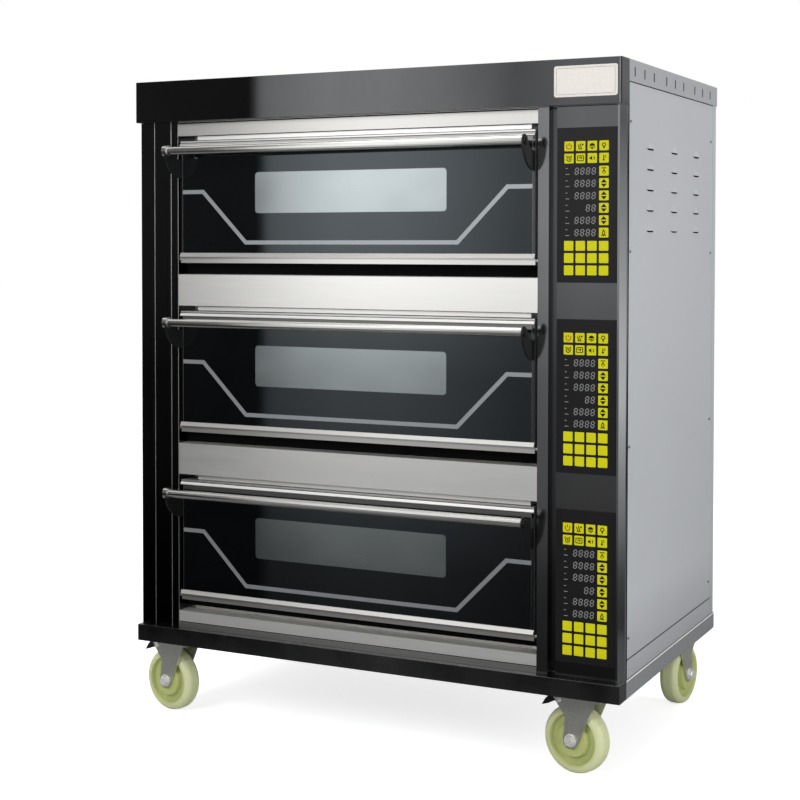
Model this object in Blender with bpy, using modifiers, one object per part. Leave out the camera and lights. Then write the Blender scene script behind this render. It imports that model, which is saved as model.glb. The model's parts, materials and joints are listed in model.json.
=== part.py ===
"""Three-deck electric bakery oven on four swivel casters.

Units are metres, +Z is up and the doors face -Y. Pieces are placed in the oven's own frame, centred on
the cabinet, and one empty then moves that frame so that the origin lies on the floor, below the centre
of the whole part's box.
"""

import math

import bmesh
import bpy
from mathutils import Matrix, Vector

# Cabinet
OVEN_WIDTH = 1.220
OVEN_DEPTH = 0.780
DECK_COUNT = 3
DECK_PITCH = 0.408
BASE_HEIGHT = 0.040
HOOD_HEIGHT = 0.098
FASCIA_SETBACK = 0.020
COLUMN_WRAP = 0.029
COLUMN_INSET = 0.002
SIDE_INSET = 0.0025
BACK_INSET = 0.0025
LEFT_COLUMN_WIDTH = 0.1065
RIGHT_COLUMN_WIDTH = 0.1908
SHEET = 0.002
CLEARANCE = 0.0003
CUT_MARGIN = 0.02

# Base chassis
CHASSIS_SHEET = 0.003
CHASSIS_FLANGE = 0.045

# Columns
COLUMN_SEAT_DEPTH = 0.035
MOUTH_FLANGE = 0.0233
FOLD_POSITIONS = (0.0387, 0.0858)
FOLD_DEPTH = 0.0008
FOLD_HALF_WIDTH = 0.0012
POST_WIDTH = 0.0245
GROOVE_WIDTH = 0.0165
GROOVE_DEPTH = 0.040
CORNER_STRIP = 0.014
CORNER_FLAT = 0.0045
CORNER_CHAMFER = 0.020
PANEL_RECESS = 0.0065

# Control panel and its membrane keypads
PANEL_SHEET = 0.002
KEYPAD_THICKNESS = 0.001
KEYPAD_HEIGHT = 0.330
KEYPAD_BOTTOM = 0.032
KEYPAD_MARGIN = 0.001

# Steel fascia bands between the doors
FASCIA_BELOW = 0.034
FASCIA_ABOVE = 0.041
LINTEL_DROP = 0.005

# Doors
DOOR_GAP_BELOW = 0.028
DOOR_GAP_ABOVE = 0.013
DOOR_THICKNESS = 0.036
DOOR_SIDE_GAP = 0.0065
DOOR_BACK_GAP = 0.002
DOOR_SKIN = 0.002
TOP_RAIL = 0.012
BOTTOM_RAIL = 0.024
RAIL_STEP = 0.002
RAIL_BAND = 0.0137
STILE = 0.006
GLASS_THICKNESS = 0.005
GLASS_SETBACK = 0.0002
GLASS_LEDGE = 0.010
WINDOW_WIDTH = 0.490
WINDOW_HEIGHT = 0.096
WINDOW_BOTTOM = 0.118
HINGE_INSET = 0.009
PIN_RADIUS = 0.004
PIN_ROOT = 0.006
PIN_REACH = 0.003

# Door handle
BAR_RADIUS = 0.00975
BAR_WALL = 0.0015
BAR_STANDOFF = 0.0605
BAR_DROP = 0.026
BRACKET_THICKNESS = 0.0045
BRACKET_WALL = 0.0035
BRACKET_DROP = 0.064
BRACKET_HOLLOW = 0.020
BRACKET_SPINE = 0.0215

# Baking chambers
CAVITY_FLOOR = 0.081
CAVITY_HEADROOM = 0.067
REAR_SPACE = 0.0755
LINER_FLANGE = 0.030
HEARTH_SHEET = 0.003
HEARTH_HEIGHT = 0.028
HEARTH_GAP = 0.004
HEATER_RADIUS = 0.004
HEATER_RUNS = 4
HEATER_PITCH = 0.150
HEATER_END_GAP = 0.040
HEATER_TERMINAL = 0.030
HEATER_BEND_POINTS = 6
UPPER_HEATER_DROP = 0.020
LOWER_HEATER_RISE = 0.012

# Top cover, side panels and back panel
COVER_SKIRT = 0.047
COVER_LAP = 0.016
SLOT_GROUPS = 3
SLOTS_PER_GROUP = 3
SLOT_GROUP_PITCH = 0.240
SLOT_PITCH = 0.071
SLOT_WIDTH = 0.007
SLOT_HEIGHT = 0.020
SLOT_DROP = 0.025
LOUVRE_COLUMNS = 3
LOUVRE_ROWS = 5
LOUVRE_COLUMN_PITCH = 0.190
LOUVRE_ROW_PITCH = 0.045
LOUVRE_TOP_DROP = 0.168
LOUVRE_CENTRE_Y = 0.010
LOUVRE_LENGTH = 0.058
LOUVRE_HEIGHT = 0.013
LOUVRE_DEPTH = 0.004
LOUVRE_TAPER = 0.014
LOUVRE_ROOT = 0.0004
LOUVRE_SHEET = 0.0012
SEAM_WIDTH = 0.002
SEAM_DEPTH = 0.0008
SEAM_RISE = 0.042
SEAM_FROM_BACK = 0.030

# Mains cable gland on the back
GLAND_INSET = 0.190
GLAND_RISE = 0.090
GLAND_BORE = 0.007
GLAND_STEM = 0.0125
GLAND_FLANGE = 0.020
GLAND_NUT = 0.016
GLAND_INSIDE = 0.012
GLAND_FLANGE_DEPTH = 0.004
GLAND_NUT_DEPTH = 0.010
GLAND_DOME_DEPTH = 0.006

# Casters
CASTER_INSET_X = 0.083
CASTER_INSET_Y = 0.090
CASTER_TRAIL = 0.045
FRONT_CASTER_TURN = math.radians(167.5)
REAR_CASTER_TURN = math.radians(82.0)
PLATE_LENGTH = 0.110
PLATE_WIDTH = 0.090
PLATE_SHEET = 0.005
RACE_RADIUS = 0.030
RACE_HEIGHT = 0.010
KINGPIN_RADIUS = 0.006
KINGPIN_HEAD_RADIUS = 0.010
KINGPIN_HEAD = 0.007
CROWN_GAP = 0.0184
FORK_SHEET = 0.004
FORK_LEAD = 0.030
FORK_LEG_LEAD = 0.017
FORK_TAIL = 0.088
FORK_TAIL_DROP = 0.010
FORK_WAIST_BACK = 0.0125
FORK_WAIST_RISE = 0.050
FORK_BOSS = 0.0185
WHEEL_RADIUS = 0.075
WHEEL_WIDTH = 0.045
TREAD_WIDTH = 0.016
RIM_FLAT = 0.003
DISH_DRAFT = 0.0045
DISH_DEPTH = 0.009
DISH_FLOOR = 0.013
HUB_DRAFT = 0.004
HUB_RISE = 0.0015
HUB_SIDE_GAP = 0.0012
AXLE_RADIUS = 0.005
AXLE_HEAD_RADIUS = 0.009
AXLE_HEAD = 0.006
PEDAL_PIVOT_U = 0.074
PEDAL_PIVOT_DROP = 0.0124
PEDAL_WIDTH = 0.042
PEDAL_THICKNESS = 0.010
PEDAL_LENGTH = 0.050
PEDAL_DROOP = 0.021
PEDAL_BARREL = 0.0065
PEDAL_PIN = 0.003

# Smoothness of round shapes
WHEEL_STEPS = 28
ROUND_STEPS = 16
PIN_STEPS = 12
ARC_POINTS = 7
SHOULDER_POINTS = 5

# Levels and planes that the pieces share
HALF_WIDTH = OVEN_WIDTH / 2
FRONT_Y = -OVEN_DEPTH / 2
BACK_Y = OVEN_DEPTH / 2
FASCIA_Y = FRONT_Y + FASCIA_SETBACK
WRAP_Y = FASCIA_Y + COLUMN_WRAP
MOUTH_Y = FASCIA_Y + DOOR_THICKNESS + DOOR_BACK_GAP
BACK_PANEL_Y = BACK_Y - BACK_INSET
CASTER_HEIGHT = 2 * WHEEL_RADIUS + CROWN_GAP + FORK_SHEET + RACE_HEIGHT + PLATE_SHEET + 2 * CLEARANCE
BASE_TOP = CASTER_HEIGHT + BASE_HEIGHT
STACK_TOP = BASE_TOP + DECK_COUNT * DECK_PITCH
OVEN_TOP = STACK_TOP + HOOD_HEIGHT
COLUMN_X = HALF_WIDTH - COLUMN_INSET
SIDE_X = HALF_WIDTH - SIDE_INSET
SEAT_X = SIDE_X - SHEET - CLEARANCE
OUTER_X = max(HALF_WIDTH, SIDE_X + LOUVRE_DEPTH)
OPENING_LEFT = -COLUMN_X + LEFT_COLUMN_WIDTH
OPENING_RIGHT = COLUMN_X - RIGHT_COLUMN_WIDTH
DOOR_BOTTOM = FASCIA_ABOVE + DOOR_GAP_BELOW
DOOR_HEIGHT = DECK_PITCH - FASCIA_BELOW - DOOR_GAP_ABOVE - DOOR_BOTTOM
CAVITY_HEIGHT = DECK_PITCH - CAVITY_HEADROOM - CAVITY_FLOOR
DOOR_LEFT = OPENING_LEFT + DOOR_SIDE_GAP
DOOR_RIGHT = OPENING_RIGHT - DOOR_SIDE_GAP
DOOR_CENTRE = (DOOR_LEFT + DOOR_RIGHT) / 2
LINER_LEFT = OPENING_LEFT + MOUTH_FLANGE + CLEARANCE
LINER_RIGHT = OPENING_RIGHT - MOUTH_FLANGE - CLEARANCE
LINER_BACK = BACK_PANEL_Y - SHEET - REAR_SPACE
CAVITY_DEPTH = LINER_BACK - SHEET - MOUTH_Y
HINGE_Y = FASCIA_Y + HINGE_INSET
BAR_Y = FASCIA_Y - BAR_STANDOFF
BRACKET_NOSE = BAR_RADIUS + BRACKET_WALL
PANEL_LEFT = OPENING_RIGHT + POST_WIDTH + GROOVE_WIDTH
PANEL_RIGHT = COLUMN_X - CORNER_STRIP
PANEL_SEAT_Y = FASCIA_Y + PANEL_RECESS
PANEL_FRONT_Y = PANEL_SEAT_Y - CLEARANCE - PANEL_SHEET
SKIRT_BOTTOM = OVEN_TOP - COVER_SKIRT
PANEL_TOP = SKIRT_BOTTOM + COVER_LAP
GLAND_X = HALF_WIDTH - GLAND_INSET
CASTER_X = HALF_WIDTH - CASTER_INSET_X
CASTER_Y = BACK_Y - CASTER_INSET_Y
PLATE_TOP = CASTER_HEIGHT - CLEARANCE
RACE_BOTTOM = PLATE_TOP - PLATE_SHEET - RACE_HEIGHT
FORK_TOP = RACE_BOTTOM - CLEARANCE
FORK_CROWN = FORK_TOP - FORK_SHEET
HUB_FACE = WHEEL_WIDTH / 2 + HUB_RISE
LEG_INNER = HUB_FACE + HUB_SIDE_GAP
LEG_OUTER = LEG_INNER + FORK_SHEET
PEDAL_PIVOT_Z = FORK_TOP - PEDAL_PIVOT_DROP

FINISHES = {
    "black_gloss": ((0.012, 0.012, 0.014), 0.12, 0.0),
    "steel": ((0.72, 0.70, 0.67), 0.25, 1.0),
    "grey_paint": ((0.43, 0.45, 0.46), 0.42, 0.0),
    "black_glass": ((0.010, 0.011, 0.013), 0.05, 0.0),
    "membrane": ((0.05, 0.05, 0.055), 0.35, 0.0),
    "black_plastic": ((0.015, 0.015, 0.016), 0.35, 0.0),
    "liner_steel": ((0.55, 0.55, 0.54), 0.45, 1.0),
    "heater_steel": ((0.20, 0.19, 0.18), 0.50, 1.0),
    "zinc": ((0.36, 0.37, 0.38), 0.38, 1.0),
    "nylon": ((0.60, 0.61, 0.36), 0.45, 0.0),
}

PLANES = {
    "XY": Matrix.Identity(4),
    "YZ": Matrix(((0, 0, 1, 0), (1, 0, 0, 0), (0, 1, 0, 0), (0, 0, 0, 1))),
    "XZ": Matrix(((1, 0, 0, 0), (0, 0, -1, 0), (0, 1, 0, 0), (0, 0, 0, 1))),
}

AXIS_TURNS = {
    "X": Matrix.Rotation(math.pi / 2, 4, "Y"),
    "Y": Matrix.Rotation(math.pi / 2, 4, "X"),
    "Z": Matrix.Identity(4),
}


def deck_floor(deck):
    """Height of the bottom of a deck, where deck 1 is the top one."""
    return BASE_TOP + (DECK_COUNT - deck) * DECK_PITCH


# Scene helpers

def clear_scene():
    for obj in list(bpy.data.objects):
        bpy.data.objects.remove(obj, do_unlink=True)


def make_collection(name):
    collection = bpy.data.collections.new(name)
    bpy.context.scene.collection.children.link(collection)
    return collection


def make_material(name, finish):
    colour, roughness, metallic = FINISHES[finish]
    material = bpy.data.materials.new(name)
    material.use_nodes = True
    shader = material.node_tree.nodes["Principled BSDF"]
    shader.inputs["Base Color"].default_value = (*colour, 1.0)
    shader.inputs["Roughness"].default_value = roughness
    shader.inputs["Metallic"].default_value = metallic
    return material


def add_empty(name, parent, location=(0, 0, 0), turn=0.0):
    empty = bpy.data.objects.new(name, None)
    PARTS.objects.link(empty)
    empty.parent = parent
    empty.location = location
    empty.rotation_euler = (0, 0, turn)
    return empty


def add_part(name, mesh, finish, parent, location=(0, 0, 0)):
    """One named piece with its own material, in its parent's frame."""
    part = bpy.data.objects.new(name, mesh)
    mesh.name = name
    mesh.materials.clear()
    mesh.materials.append(make_material(name + "_" + finish, finish))
    PARTS.objects.link(part)
    part.parent = parent
    part.location = location
    return part


def add_boolean(part, mesh, operation):
    """Cuts a hidden tool from a piece, or joins it to the piece, in the piece's own frame."""
    tool = bpy.data.objects.new(part.name + "_" + operation.lower(), mesh)
    CUTTERS.objects.link(tool)
    tool.parent = part
    tool.hide_render = True
    tool.display_type = "WIRE"
    modifier = part.modifiers.new(operation.title(), "BOOLEAN")
    modifier.operation = operation
    modifier.solver = "EXACT"
    modifier.object = tool


def cut(part, mesh):
    add_boolean(part, mesh, "DIFFERENCE")


def join(part, mesh):
    add_boolean(part, mesh, "UNION")


# Mesh helpers

def finish_mesh(bm, name):
    mesh = bpy.data.meshes.new(name)
    bm.to_mesh(mesh)
    bm.free()
    return mesh


def boxes_mesh(corners):
    """A mesh of separate boxes, each given by its lowest and highest corner."""
    bm = bmesh.new()
    for low, high in corners:
        low = Vector(low)
        high = Vector(high)
        size = high - low
        place = Matrix.Translation((low + high) / 2) @ Matrix.Diagonal((*size, 1.0))
        bmesh.ops.create_cube(bm, size=1.0, matrix=place)
    return finish_mesh(bm, "boxes")


def box_mesh(low, high):
    return boxes_mesh([(low, high)])


def cylinders_mesh(centres, axis, radius, length, sides):
    """A mesh of separate equal cylinders along one axis, with their radius measured to the flats."""
    reach = radius / math.cos(math.pi / sides)
    bm = bmesh.new()
    for centre in centres:
        place = Matrix.Translation(centre) @ AXIS_TURNS[axis]
        bmesh.ops.create_cone(bm, cap_ends=True, segments=sides, radius1=reach, radius2=reach,
                              depth=length, matrix=place)
    return finish_mesh(bm, "cylinders")


def evaluated_mesh(obj):
    """The object's final mesh, welded, with the object itself removed."""
    CUTTERS.objects.link(obj)
    graph = bpy.context.evaluated_depsgraph_get()
    mesh = bpy.data.meshes.new_from_object(obj.evaluated_get(graph))
    bpy.data.objects.remove(obj, do_unlink=True)
    bm = bmesh.new()
    bm.from_mesh(mesh)
    bmesh.ops.remove_doubles(bm, verts=bm.verts, dist=1e-6)
    bm.to_mesh(mesh)
    bm.free()
    return mesh


def outline_mesh(outline, low, high, plane):
    """A flat closed outline extruded along its plane's normal from low to high."""
    curve = bpy.data.curves.new("outline", "CURVE")
    curve.dimensions = "2D"
    curve.fill_mode = "BOTH"
    curve.extrude = (high - low) / 2
    spline = curve.splines.new("POLY")
    spline.points.add(len(outline) - 1)
    for point, (x, y) in zip(spline.points, outline):
        point.co = (x, y, 0.0, 1.0)
    spline.use_cyclic_u = True
    mesh = evaluated_mesh(bpy.data.objects.new("outline", curve))
    mesh.transform(PLANES[plane] @ Matrix.Translation((0, 0, (low + high) / 2)))
    return mesh


def tube_mesh(points, radius):
    """A round bar along a path of points."""
    curve = bpy.data.curves.new("tube", "CURVE")
    curve.dimensions = "3D"
    curve.bevel_depth = radius
    curve.bevel_resolution = 2
    curve.use_fill_caps = True
    spline = curve.splines.new("POLY")
    spline.points.add(len(points) - 1)
    for point, place in zip(spline.points, points):
        point.co = (*place, 1.0)
    return evaluated_mesh(bpy.data.objects.new("tube", curve))


def turned_mesh(profile, steps, axis, closed=False):
    """A profile of (radius, height) points, run down its outer side, turned about an axis.

    The flats of the turned shape face the other two axes, and radii are measured to the flats.
    """
    half_step = math.pi / steps
    bm = bmesh.new()
    verts = []
    for radius, height in profile:
        reach = radius / math.cos(half_step)
        verts.append(bm.verts.new((reach * math.cos(half_step), -reach * math.sin(half_step), height)))
    for first, second in zip(verts, verts[1:]):
        bm.edges.new((first, second))
    if closed:
        bm.edges.new((verts[-1], verts[0]))
    shape = bpy.data.objects.new("turned", finish_mesh(bm, "profile"))
    screw = shape.modifiers.new("Screw", "SCREW")
    screw.axis = "Z"
    screw.steps = steps
    screw.render_steps = steps
    screw.use_merge_vertices = True
    screw.merge_threshold = 0.00001
    mesh = evaluated_mesh(shape)
    mesh.transform(AXIS_TURNS[axis])
    return mesh


def add_loft(bm, rings):
    """Closes rings of as many verts each into one solid of triangles."""
    faces = [bm.faces.new(rings[0]), bm.faces.new(rings[-1])]
    for first, second in zip(rings, rings[1:]):
        for index in range(len(first)):
            before = index - 1
            faces.append(bm.faces.new((first[before], first[index], second[index], second[before])))
    made = bmesh.ops.triangulate(bm, faces=faces)
    bmesh.ops.recalc_face_normals(bm, faces=made["faces"])


def smooth(part, angle=35.0):
    part.data.shade_smooth()
    part.data.set_sharp_from_angle(angle=math.radians(angle))


# Outline helpers

def arc(centre, radii, start, end, points):
    """Points along an elliptical arc, with angles in degrees."""
    places = []
    for index in range(points):
        angle = math.radians(start + (end - start) * index / (points - 1))
        places.append((centre[0] + radii[0] * math.cos(angle), centre[1] + radii[1] * math.sin(angle)))
    return places


def sheet_outline(path, thickness):
    """The section of a folded sheet whose outer face follows a path, with the sheet to the path's left."""
    normals = []
    for first, second in zip(path, path[1:]):
        along = (Vector(second) - Vector(first)).normalized()
        normals.append(Vector((-along.y, along.x)))
    inner = []
    for index, place in enumerate(path):
        before = normals[max(index - 1, 0)]
        after = normals[min(index, len(normals) - 1)]
        shift = (before + after) * thickness / (1.0 + before.dot(after))
        inner.append(tuple(Vector(place) + shift))
    return list(path) + inner[::-1]


# Base, hood and outer panels

def trim_channel(name, low_z, high_z, parent):
    """A black front channel that wraps round both sides of the cabinet and is open at its back."""
    part = add_part(name, box_mesh((-HALF_WIDTH, FRONT_Y, low_z), (HALF_WIDTH, WRAP_Y, high_z)),
                    "black_gloss", parent)
    cut(part, box_mesh((-HALF_WIDTH + SHEET, FRONT_Y + SHEET, low_z + SHEET),
                       (HALF_WIDTH - SHEET, WRAP_Y + CUT_MARGIN, high_z - SHEET)))
    return part


def base_chassis(parent):
    front = WRAP_Y + CLEARANCE
    wall = CHASSIS_SHEET
    part = add_part("base_chassis", box_mesh((-HALF_WIDTH, front, CASTER_HEIGHT),
                                             (HALF_WIDTH, BACK_Y, BASE_TOP)), "grey_paint", parent)
    cut(part, box_mesh((-HALF_WIDTH + wall, front + wall, CASTER_HEIGHT + wall),
                       (HALF_WIDTH - wall, BACK_Y - wall, BASE_TOP - wall)))
    cut(part, box_mesh((-HALF_WIDTH + CHASSIS_FLANGE, front + CHASSIS_FLANGE, BASE_TOP - 2 * wall),
                       (HALF_WIDTH - CHASSIS_FLANGE, BACK_Y - CHASSIS_FLANGE, BASE_TOP + CUT_MARGIN)))


def top_cover(parent):
    half = SIDE_X + CLEARANCE + SHEET
    front = WRAP_Y + CLEARANCE
    back = BACK_PANEL_Y + CLEARANCE + SHEET
    part = add_part("top_cover", box_mesh((-half, front, SKIRT_BOTTOM), (half, back, OVEN_TOP)),
                    "grey_paint", parent)
    cut(part, box_mesh((-half + SHEET, front - CUT_MARGIN, SKIRT_BOTTOM - CUT_MARGIN),
                       (half - SHEET, back - SHEET, OVEN_TOP - SHEET)))
    slots = []
    slot_top = OVEN_TOP - SLOT_DROP + SLOT_HEIGHT / 2
    for group in range(SLOT_GROUPS):
        for slot in range(SLOTS_PER_GROUP):
            along = (group - (SLOT_GROUPS - 1) / 2) * SLOT_GROUP_PITCH
            along += (slot - (SLOTS_PER_GROUP - 1) / 2) * SLOT_PITCH + LOUVRE_CENTRE_Y
            slots.append(((-half - CUT_MARGIN, along - SLOT_WIDTH / 2, slot_top - SLOT_HEIGHT),
                          (half + CUT_MARGIN, along + SLOT_WIDTH / 2, slot_top)))
    cut(part, boxes_mesh(slots))


def seam_boxes(outer, inner):
    """Shallow grooves where the lower strip and the rear post meet a side panel's main sheet."""
    low_x = min(outer, inner)
    high_x = max(outer, inner)
    rise = BASE_TOP + SEAM_RISE
    back = BACK_PANEL_Y - SEAM_FROM_BACK
    level = ((low_x, WRAP_Y - CUT_MARGIN, rise), (high_x, BACK_Y + CUT_MARGIN, rise + SEAM_WIDTH))
    upright = ((low_x, back, rise - CUT_MARGIN), (high_x, back + SEAM_WIDTH, PANEL_TOP + CUT_MARGIN))
    return level, upright


def side_panel(name, side, parent):
    outer = side * SIDE_X
    inner = side * (SIDE_X - SHEET)
    low = (min(outer, inner), WRAP_Y + CLEARANCE, BASE_TOP + CLEARANCE)
    high = (max(outer, inner), BACK_PANEL_Y, PANEL_TOP)
    part = add_part(name, box_mesh(low, high), "grey_paint", parent)
    for groove in seam_boxes(side * (SIDE_X + CUT_MARGIN), side * (SIDE_X - SEAM_DEPTH)):
        cut(part, boxes_mesh([groove]))
    return part


def louvre_section(depth, inset, run_out):
    """A louvre's upright section in X and Z: a hood that leans out downwards, offset inwards by an inset."""
    root = SIDE_X - SHEET - run_out
    lip = SIDE_X + depth - inset + depth / LOUVRE_HEIGHT * run_out
    neck = SIDE_X + min(depth, 0.0) - inset
    return [(root, -run_out), (lip, -run_out), (neck, LOUVRE_HEIGHT), (root, LOUVRE_HEIGHT)]


def louvre_mesh(inset, run_out):
    """All the louvres of the side panel, as solid hoods or, with an inset, as the spaces under them."""
    half = LOUVRE_LENGTH / 2 - inset
    crown = half - LOUVRE_TAPER
    ends = louvre_section(-LOUVRE_ROOT, inset, run_out)
    middle = louvre_section(LOUVRE_DEPTH, inset, run_out)
    stations = [(-half, ends), (-crown, middle), (crown, middle), (half, ends)]
    top_row = STACK_TOP - LOUVRE_TOP_DROP + (LOUVRE_ROWS - 1) / 2 * LOUVRE_ROW_PITCH
    bm = bmesh.new()
    for column in range(LOUVRE_COLUMNS):
        centre = LOUVRE_CENTRE_Y + (column - (LOUVRE_COLUMNS - 1) / 2) * LOUVRE_COLUMN_PITCH
        for row in range(LOUVRE_ROWS):
            bottom = top_row - row * LOUVRE_ROW_PITCH - LOUVRE_HEIGHT / 2
            rings = []
            for along, section in stations:
                rings.append([bm.verts.new((x, centre + along, bottom + z)) for x, z in section])
            add_loft(bm, rings)
    return finish_mesh(bm, "louvres")


def back_panel(parent):
    part = add_part("back_panel", box_mesh((-SEAT_X, BACK_PANEL_Y - SHEET, BASE_TOP + CLEARANCE),
                                           (SEAT_X, BACK_PANEL_Y, PANEL_TOP)), "grey_paint", parent)
    gland = (GLAND_X, BACK_PANEL_Y, BASE_TOP + GLAND_RISE)
    cut(part, cylinders_mesh([gland], "Y", GLAND_STEM + 2 * CLEARANCE, 2 * CUT_MARGIN, ROUND_STEPS))


def power_inlet_gland(parent):
    nut_root = CLEARANCE + GLAND_FLANGE_DEPTH
    dome_root = nut_root + GLAND_NUT_DEPTH
    tip = dome_root + GLAND_DOME_DEPTH
    profile = [(GLAND_BORE, tip), (GLAND_STEM - SHEET, tip), (GLAND_STEM, dome_root),
               (GLAND_NUT, dome_root), (GLAND_NUT, nut_root), (GLAND_FLANGE, nut_root),
               (GLAND_FLANGE, CLEARANCE), (GLAND_STEM, CLEARANCE), (GLAND_STEM, -GLAND_INSIDE),
               (GLAND_BORE, -GLAND_INSIDE)]
    mesh = turned_mesh(profile, ROUND_STEPS, "Y", closed=True)
    mesh.transform(Matrix.Rotation(math.pi, 4, "Z"))
    part = add_part("power_inlet_gland", mesh, "black_plastic", parent,
                    (GLAND_X, BACK_PANEL_Y, BASE_TOP + GLAND_RISE))
    smooth(part)


# Front columns, control panel and fascia

def hinge_bores(part, wall_x):
    """Holes for the hinge pins of every door, through the column wall beside the doors."""
    centres = [(wall_x, HINGE_Y, deck_floor(deck) + DOOR_BOTTOM + HINGE_INSET)
               for deck in range(1, DECK_COUNT + 1)]
    cut(part, cylinders_mesh(centres, "X", PIN_RADIUS + CLEARANCE, 4 * SHEET, ROUND_STEPS))


def left_column(parent):
    folds = []
    for fold in FOLD_POSITIONS:
        crease = -COLUMN_X + fold
        folds += [(crease - FOLD_HALF_WIDTH, FASCIA_Y), (crease, FASCIA_Y + FOLD_DEPTH),
                  (crease + FOLD_HALF_WIDTH, FASCIA_Y)]
    corner = [(-SEAT_X, WRAP_Y + COLUMN_SEAT_DEPTH), (-SEAT_X, WRAP_Y), (-COLUMN_X, WRAP_Y),
              (-COLUMN_X, FASCIA_Y)]
    door_side = [(OPENING_LEFT, FASCIA_Y), (OPENING_LEFT, MOUTH_Y), (OPENING_LEFT + MOUTH_FLANGE, MOUTH_Y)]
    section = sheet_outline(corner + door_side, SHEET)
    section[len(corner):len(corner)] = folds
    part = add_part("left_column", outline_mesh(section, BASE_TOP + CLEARANCE, STACK_TOP - CLEARANCE, "XY"),
                    "black_gloss", parent)
    hinge_bores(part, OPENING_LEFT)


def right_column(parent):
    post_end = OPENING_RIGHT + POST_WIDTH
    groove_y = FASCIA_Y + GROOVE_DEPTH
    section = sheet_outline([
        (OPENING_RIGHT - MOUTH_FLANGE, MOUTH_Y), (OPENING_RIGHT, MOUTH_Y), (OPENING_RIGHT, FASCIA_Y),
        (post_end, FASCIA_Y), (post_end, groove_y), (PANEL_LEFT, groove_y), (PANEL_LEFT, PANEL_SEAT_Y),
        (PANEL_RIGHT, PANEL_SEAT_Y), (PANEL_RIGHT, FASCIA_Y), (PANEL_RIGHT + CORNER_FLAT, FASCIA_Y),
        (COLUMN_X, FASCIA_Y + CORNER_CHAMFER), (COLUMN_X, WRAP_Y), (SEAT_X, WRAP_Y),
        (SEAT_X, WRAP_Y + COLUMN_SEAT_DEPTH)], SHEET)
    part = add_part("right_column", outline_mesh(section, BASE_TOP + CLEARANCE, STACK_TOP - CLEARANCE, "XY"),
                    "black_gloss", parent)
    hinge_bores(part, OPENING_RIGHT)


def control_panel(parent):
    add_part("control_panel", box_mesh(
        (PANEL_LEFT + CLEARANCE, PANEL_FRONT_Y, BASE_TOP + CLEARANCE),
        (PANEL_RIGHT - CLEARANCE, PANEL_FRONT_Y + PANEL_SHEET, STACK_TOP - CLEARANCE)),
             "black_gloss", parent)
    face = PANEL_FRONT_Y - CLEARANCE
    for deck in range(1, DECK_COUNT + 1):
        bottom = deck_floor(deck) + KEYPAD_BOTTOM
        add_part("keypad_%d" % deck, box_mesh(
            (PANEL_LEFT + KEYPAD_MARGIN, face - KEYPAD_THICKNESS, bottom),
            (PANEL_RIGHT - KEYPAD_MARGIN, face, bottom + KEYPAD_HEIGHT)), "membrane", parent)


def fascia_band(name, low_z, high_z, parent):
    """A folded steel band across the front, with flanges that turn back to the chamber mouths."""
    back = MOUTH_Y - CLEARANCE
    section = sheet_outline([(back, high_z), (FASCIA_Y, high_z), (FASCIA_Y, low_z), (back, low_z)], SHEET)
    add_part(name, outline_mesh(section, OPENING_LEFT + CLEARANCE, OPENING_RIGHT - CLEARANCE, "YZ"),
             "steel", parent)


def fascia_bands(parent):
    fascia_band("top_lintel", STACK_TOP - FASCIA_BELOW, STACK_TOP - LINTEL_DROP, parent)
    for deck in range(1, DECK_COUNT):
        joint = deck_floor(deck)
        fascia_band("mid_panel_%d" % deck, joint - FASCIA_BELOW, joint + FASCIA_ABOVE, parent)
    fascia_band("bottom_apron", BASE_TOP + CLEARANCE, BASE_TOP + FASCIA_ABOVE, parent)


# Baking chambers

def heater_terminals(level):
    """Where a heater's two ends pass through the right wall of its chamber."""
    first = MOUTH_Y + (CAVITY_DEPTH - (HEATER_RUNS - 1) * HEATER_PITCH) / 2
    last = first + (HEATER_RUNS - 1) * HEATER_PITCH
    return [(LINER_RIGHT, first, level), (LINER_RIGHT, last, level)]


def heater_path(level):
    """A flat serpentine of runs across the chamber, joined by round bends, with both ends at the right."""
    bend = HEATER_PITCH / 2
    left = LINER_LEFT + SHEET + HEATER_END_GAP + bend
    right = LINER_RIGHT - SHEET - HEATER_END_GAP - bend
    start, finish = heater_terminals(level)
    points = [(LINER_RIGHT + HEATER_TERMINAL, start[1])]
    for run in range(HEATER_RUNS - 1):
        middle = start[1] + (run + 0.5) * HEATER_PITCH
        if run % 2 == 0:
            points += arc((left, middle), (bend, bend), 270.0, 90.0, HEATER_BEND_POINTS)
        else:
            points += arc((right, middle), (bend, bend), -90.0, 90.0, HEATER_BEND_POINTS)
    points.append((LINER_RIGHT + HEATER_TERMINAL, finish[1]))
    return [(x, y, level) for x, y in points]


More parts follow.
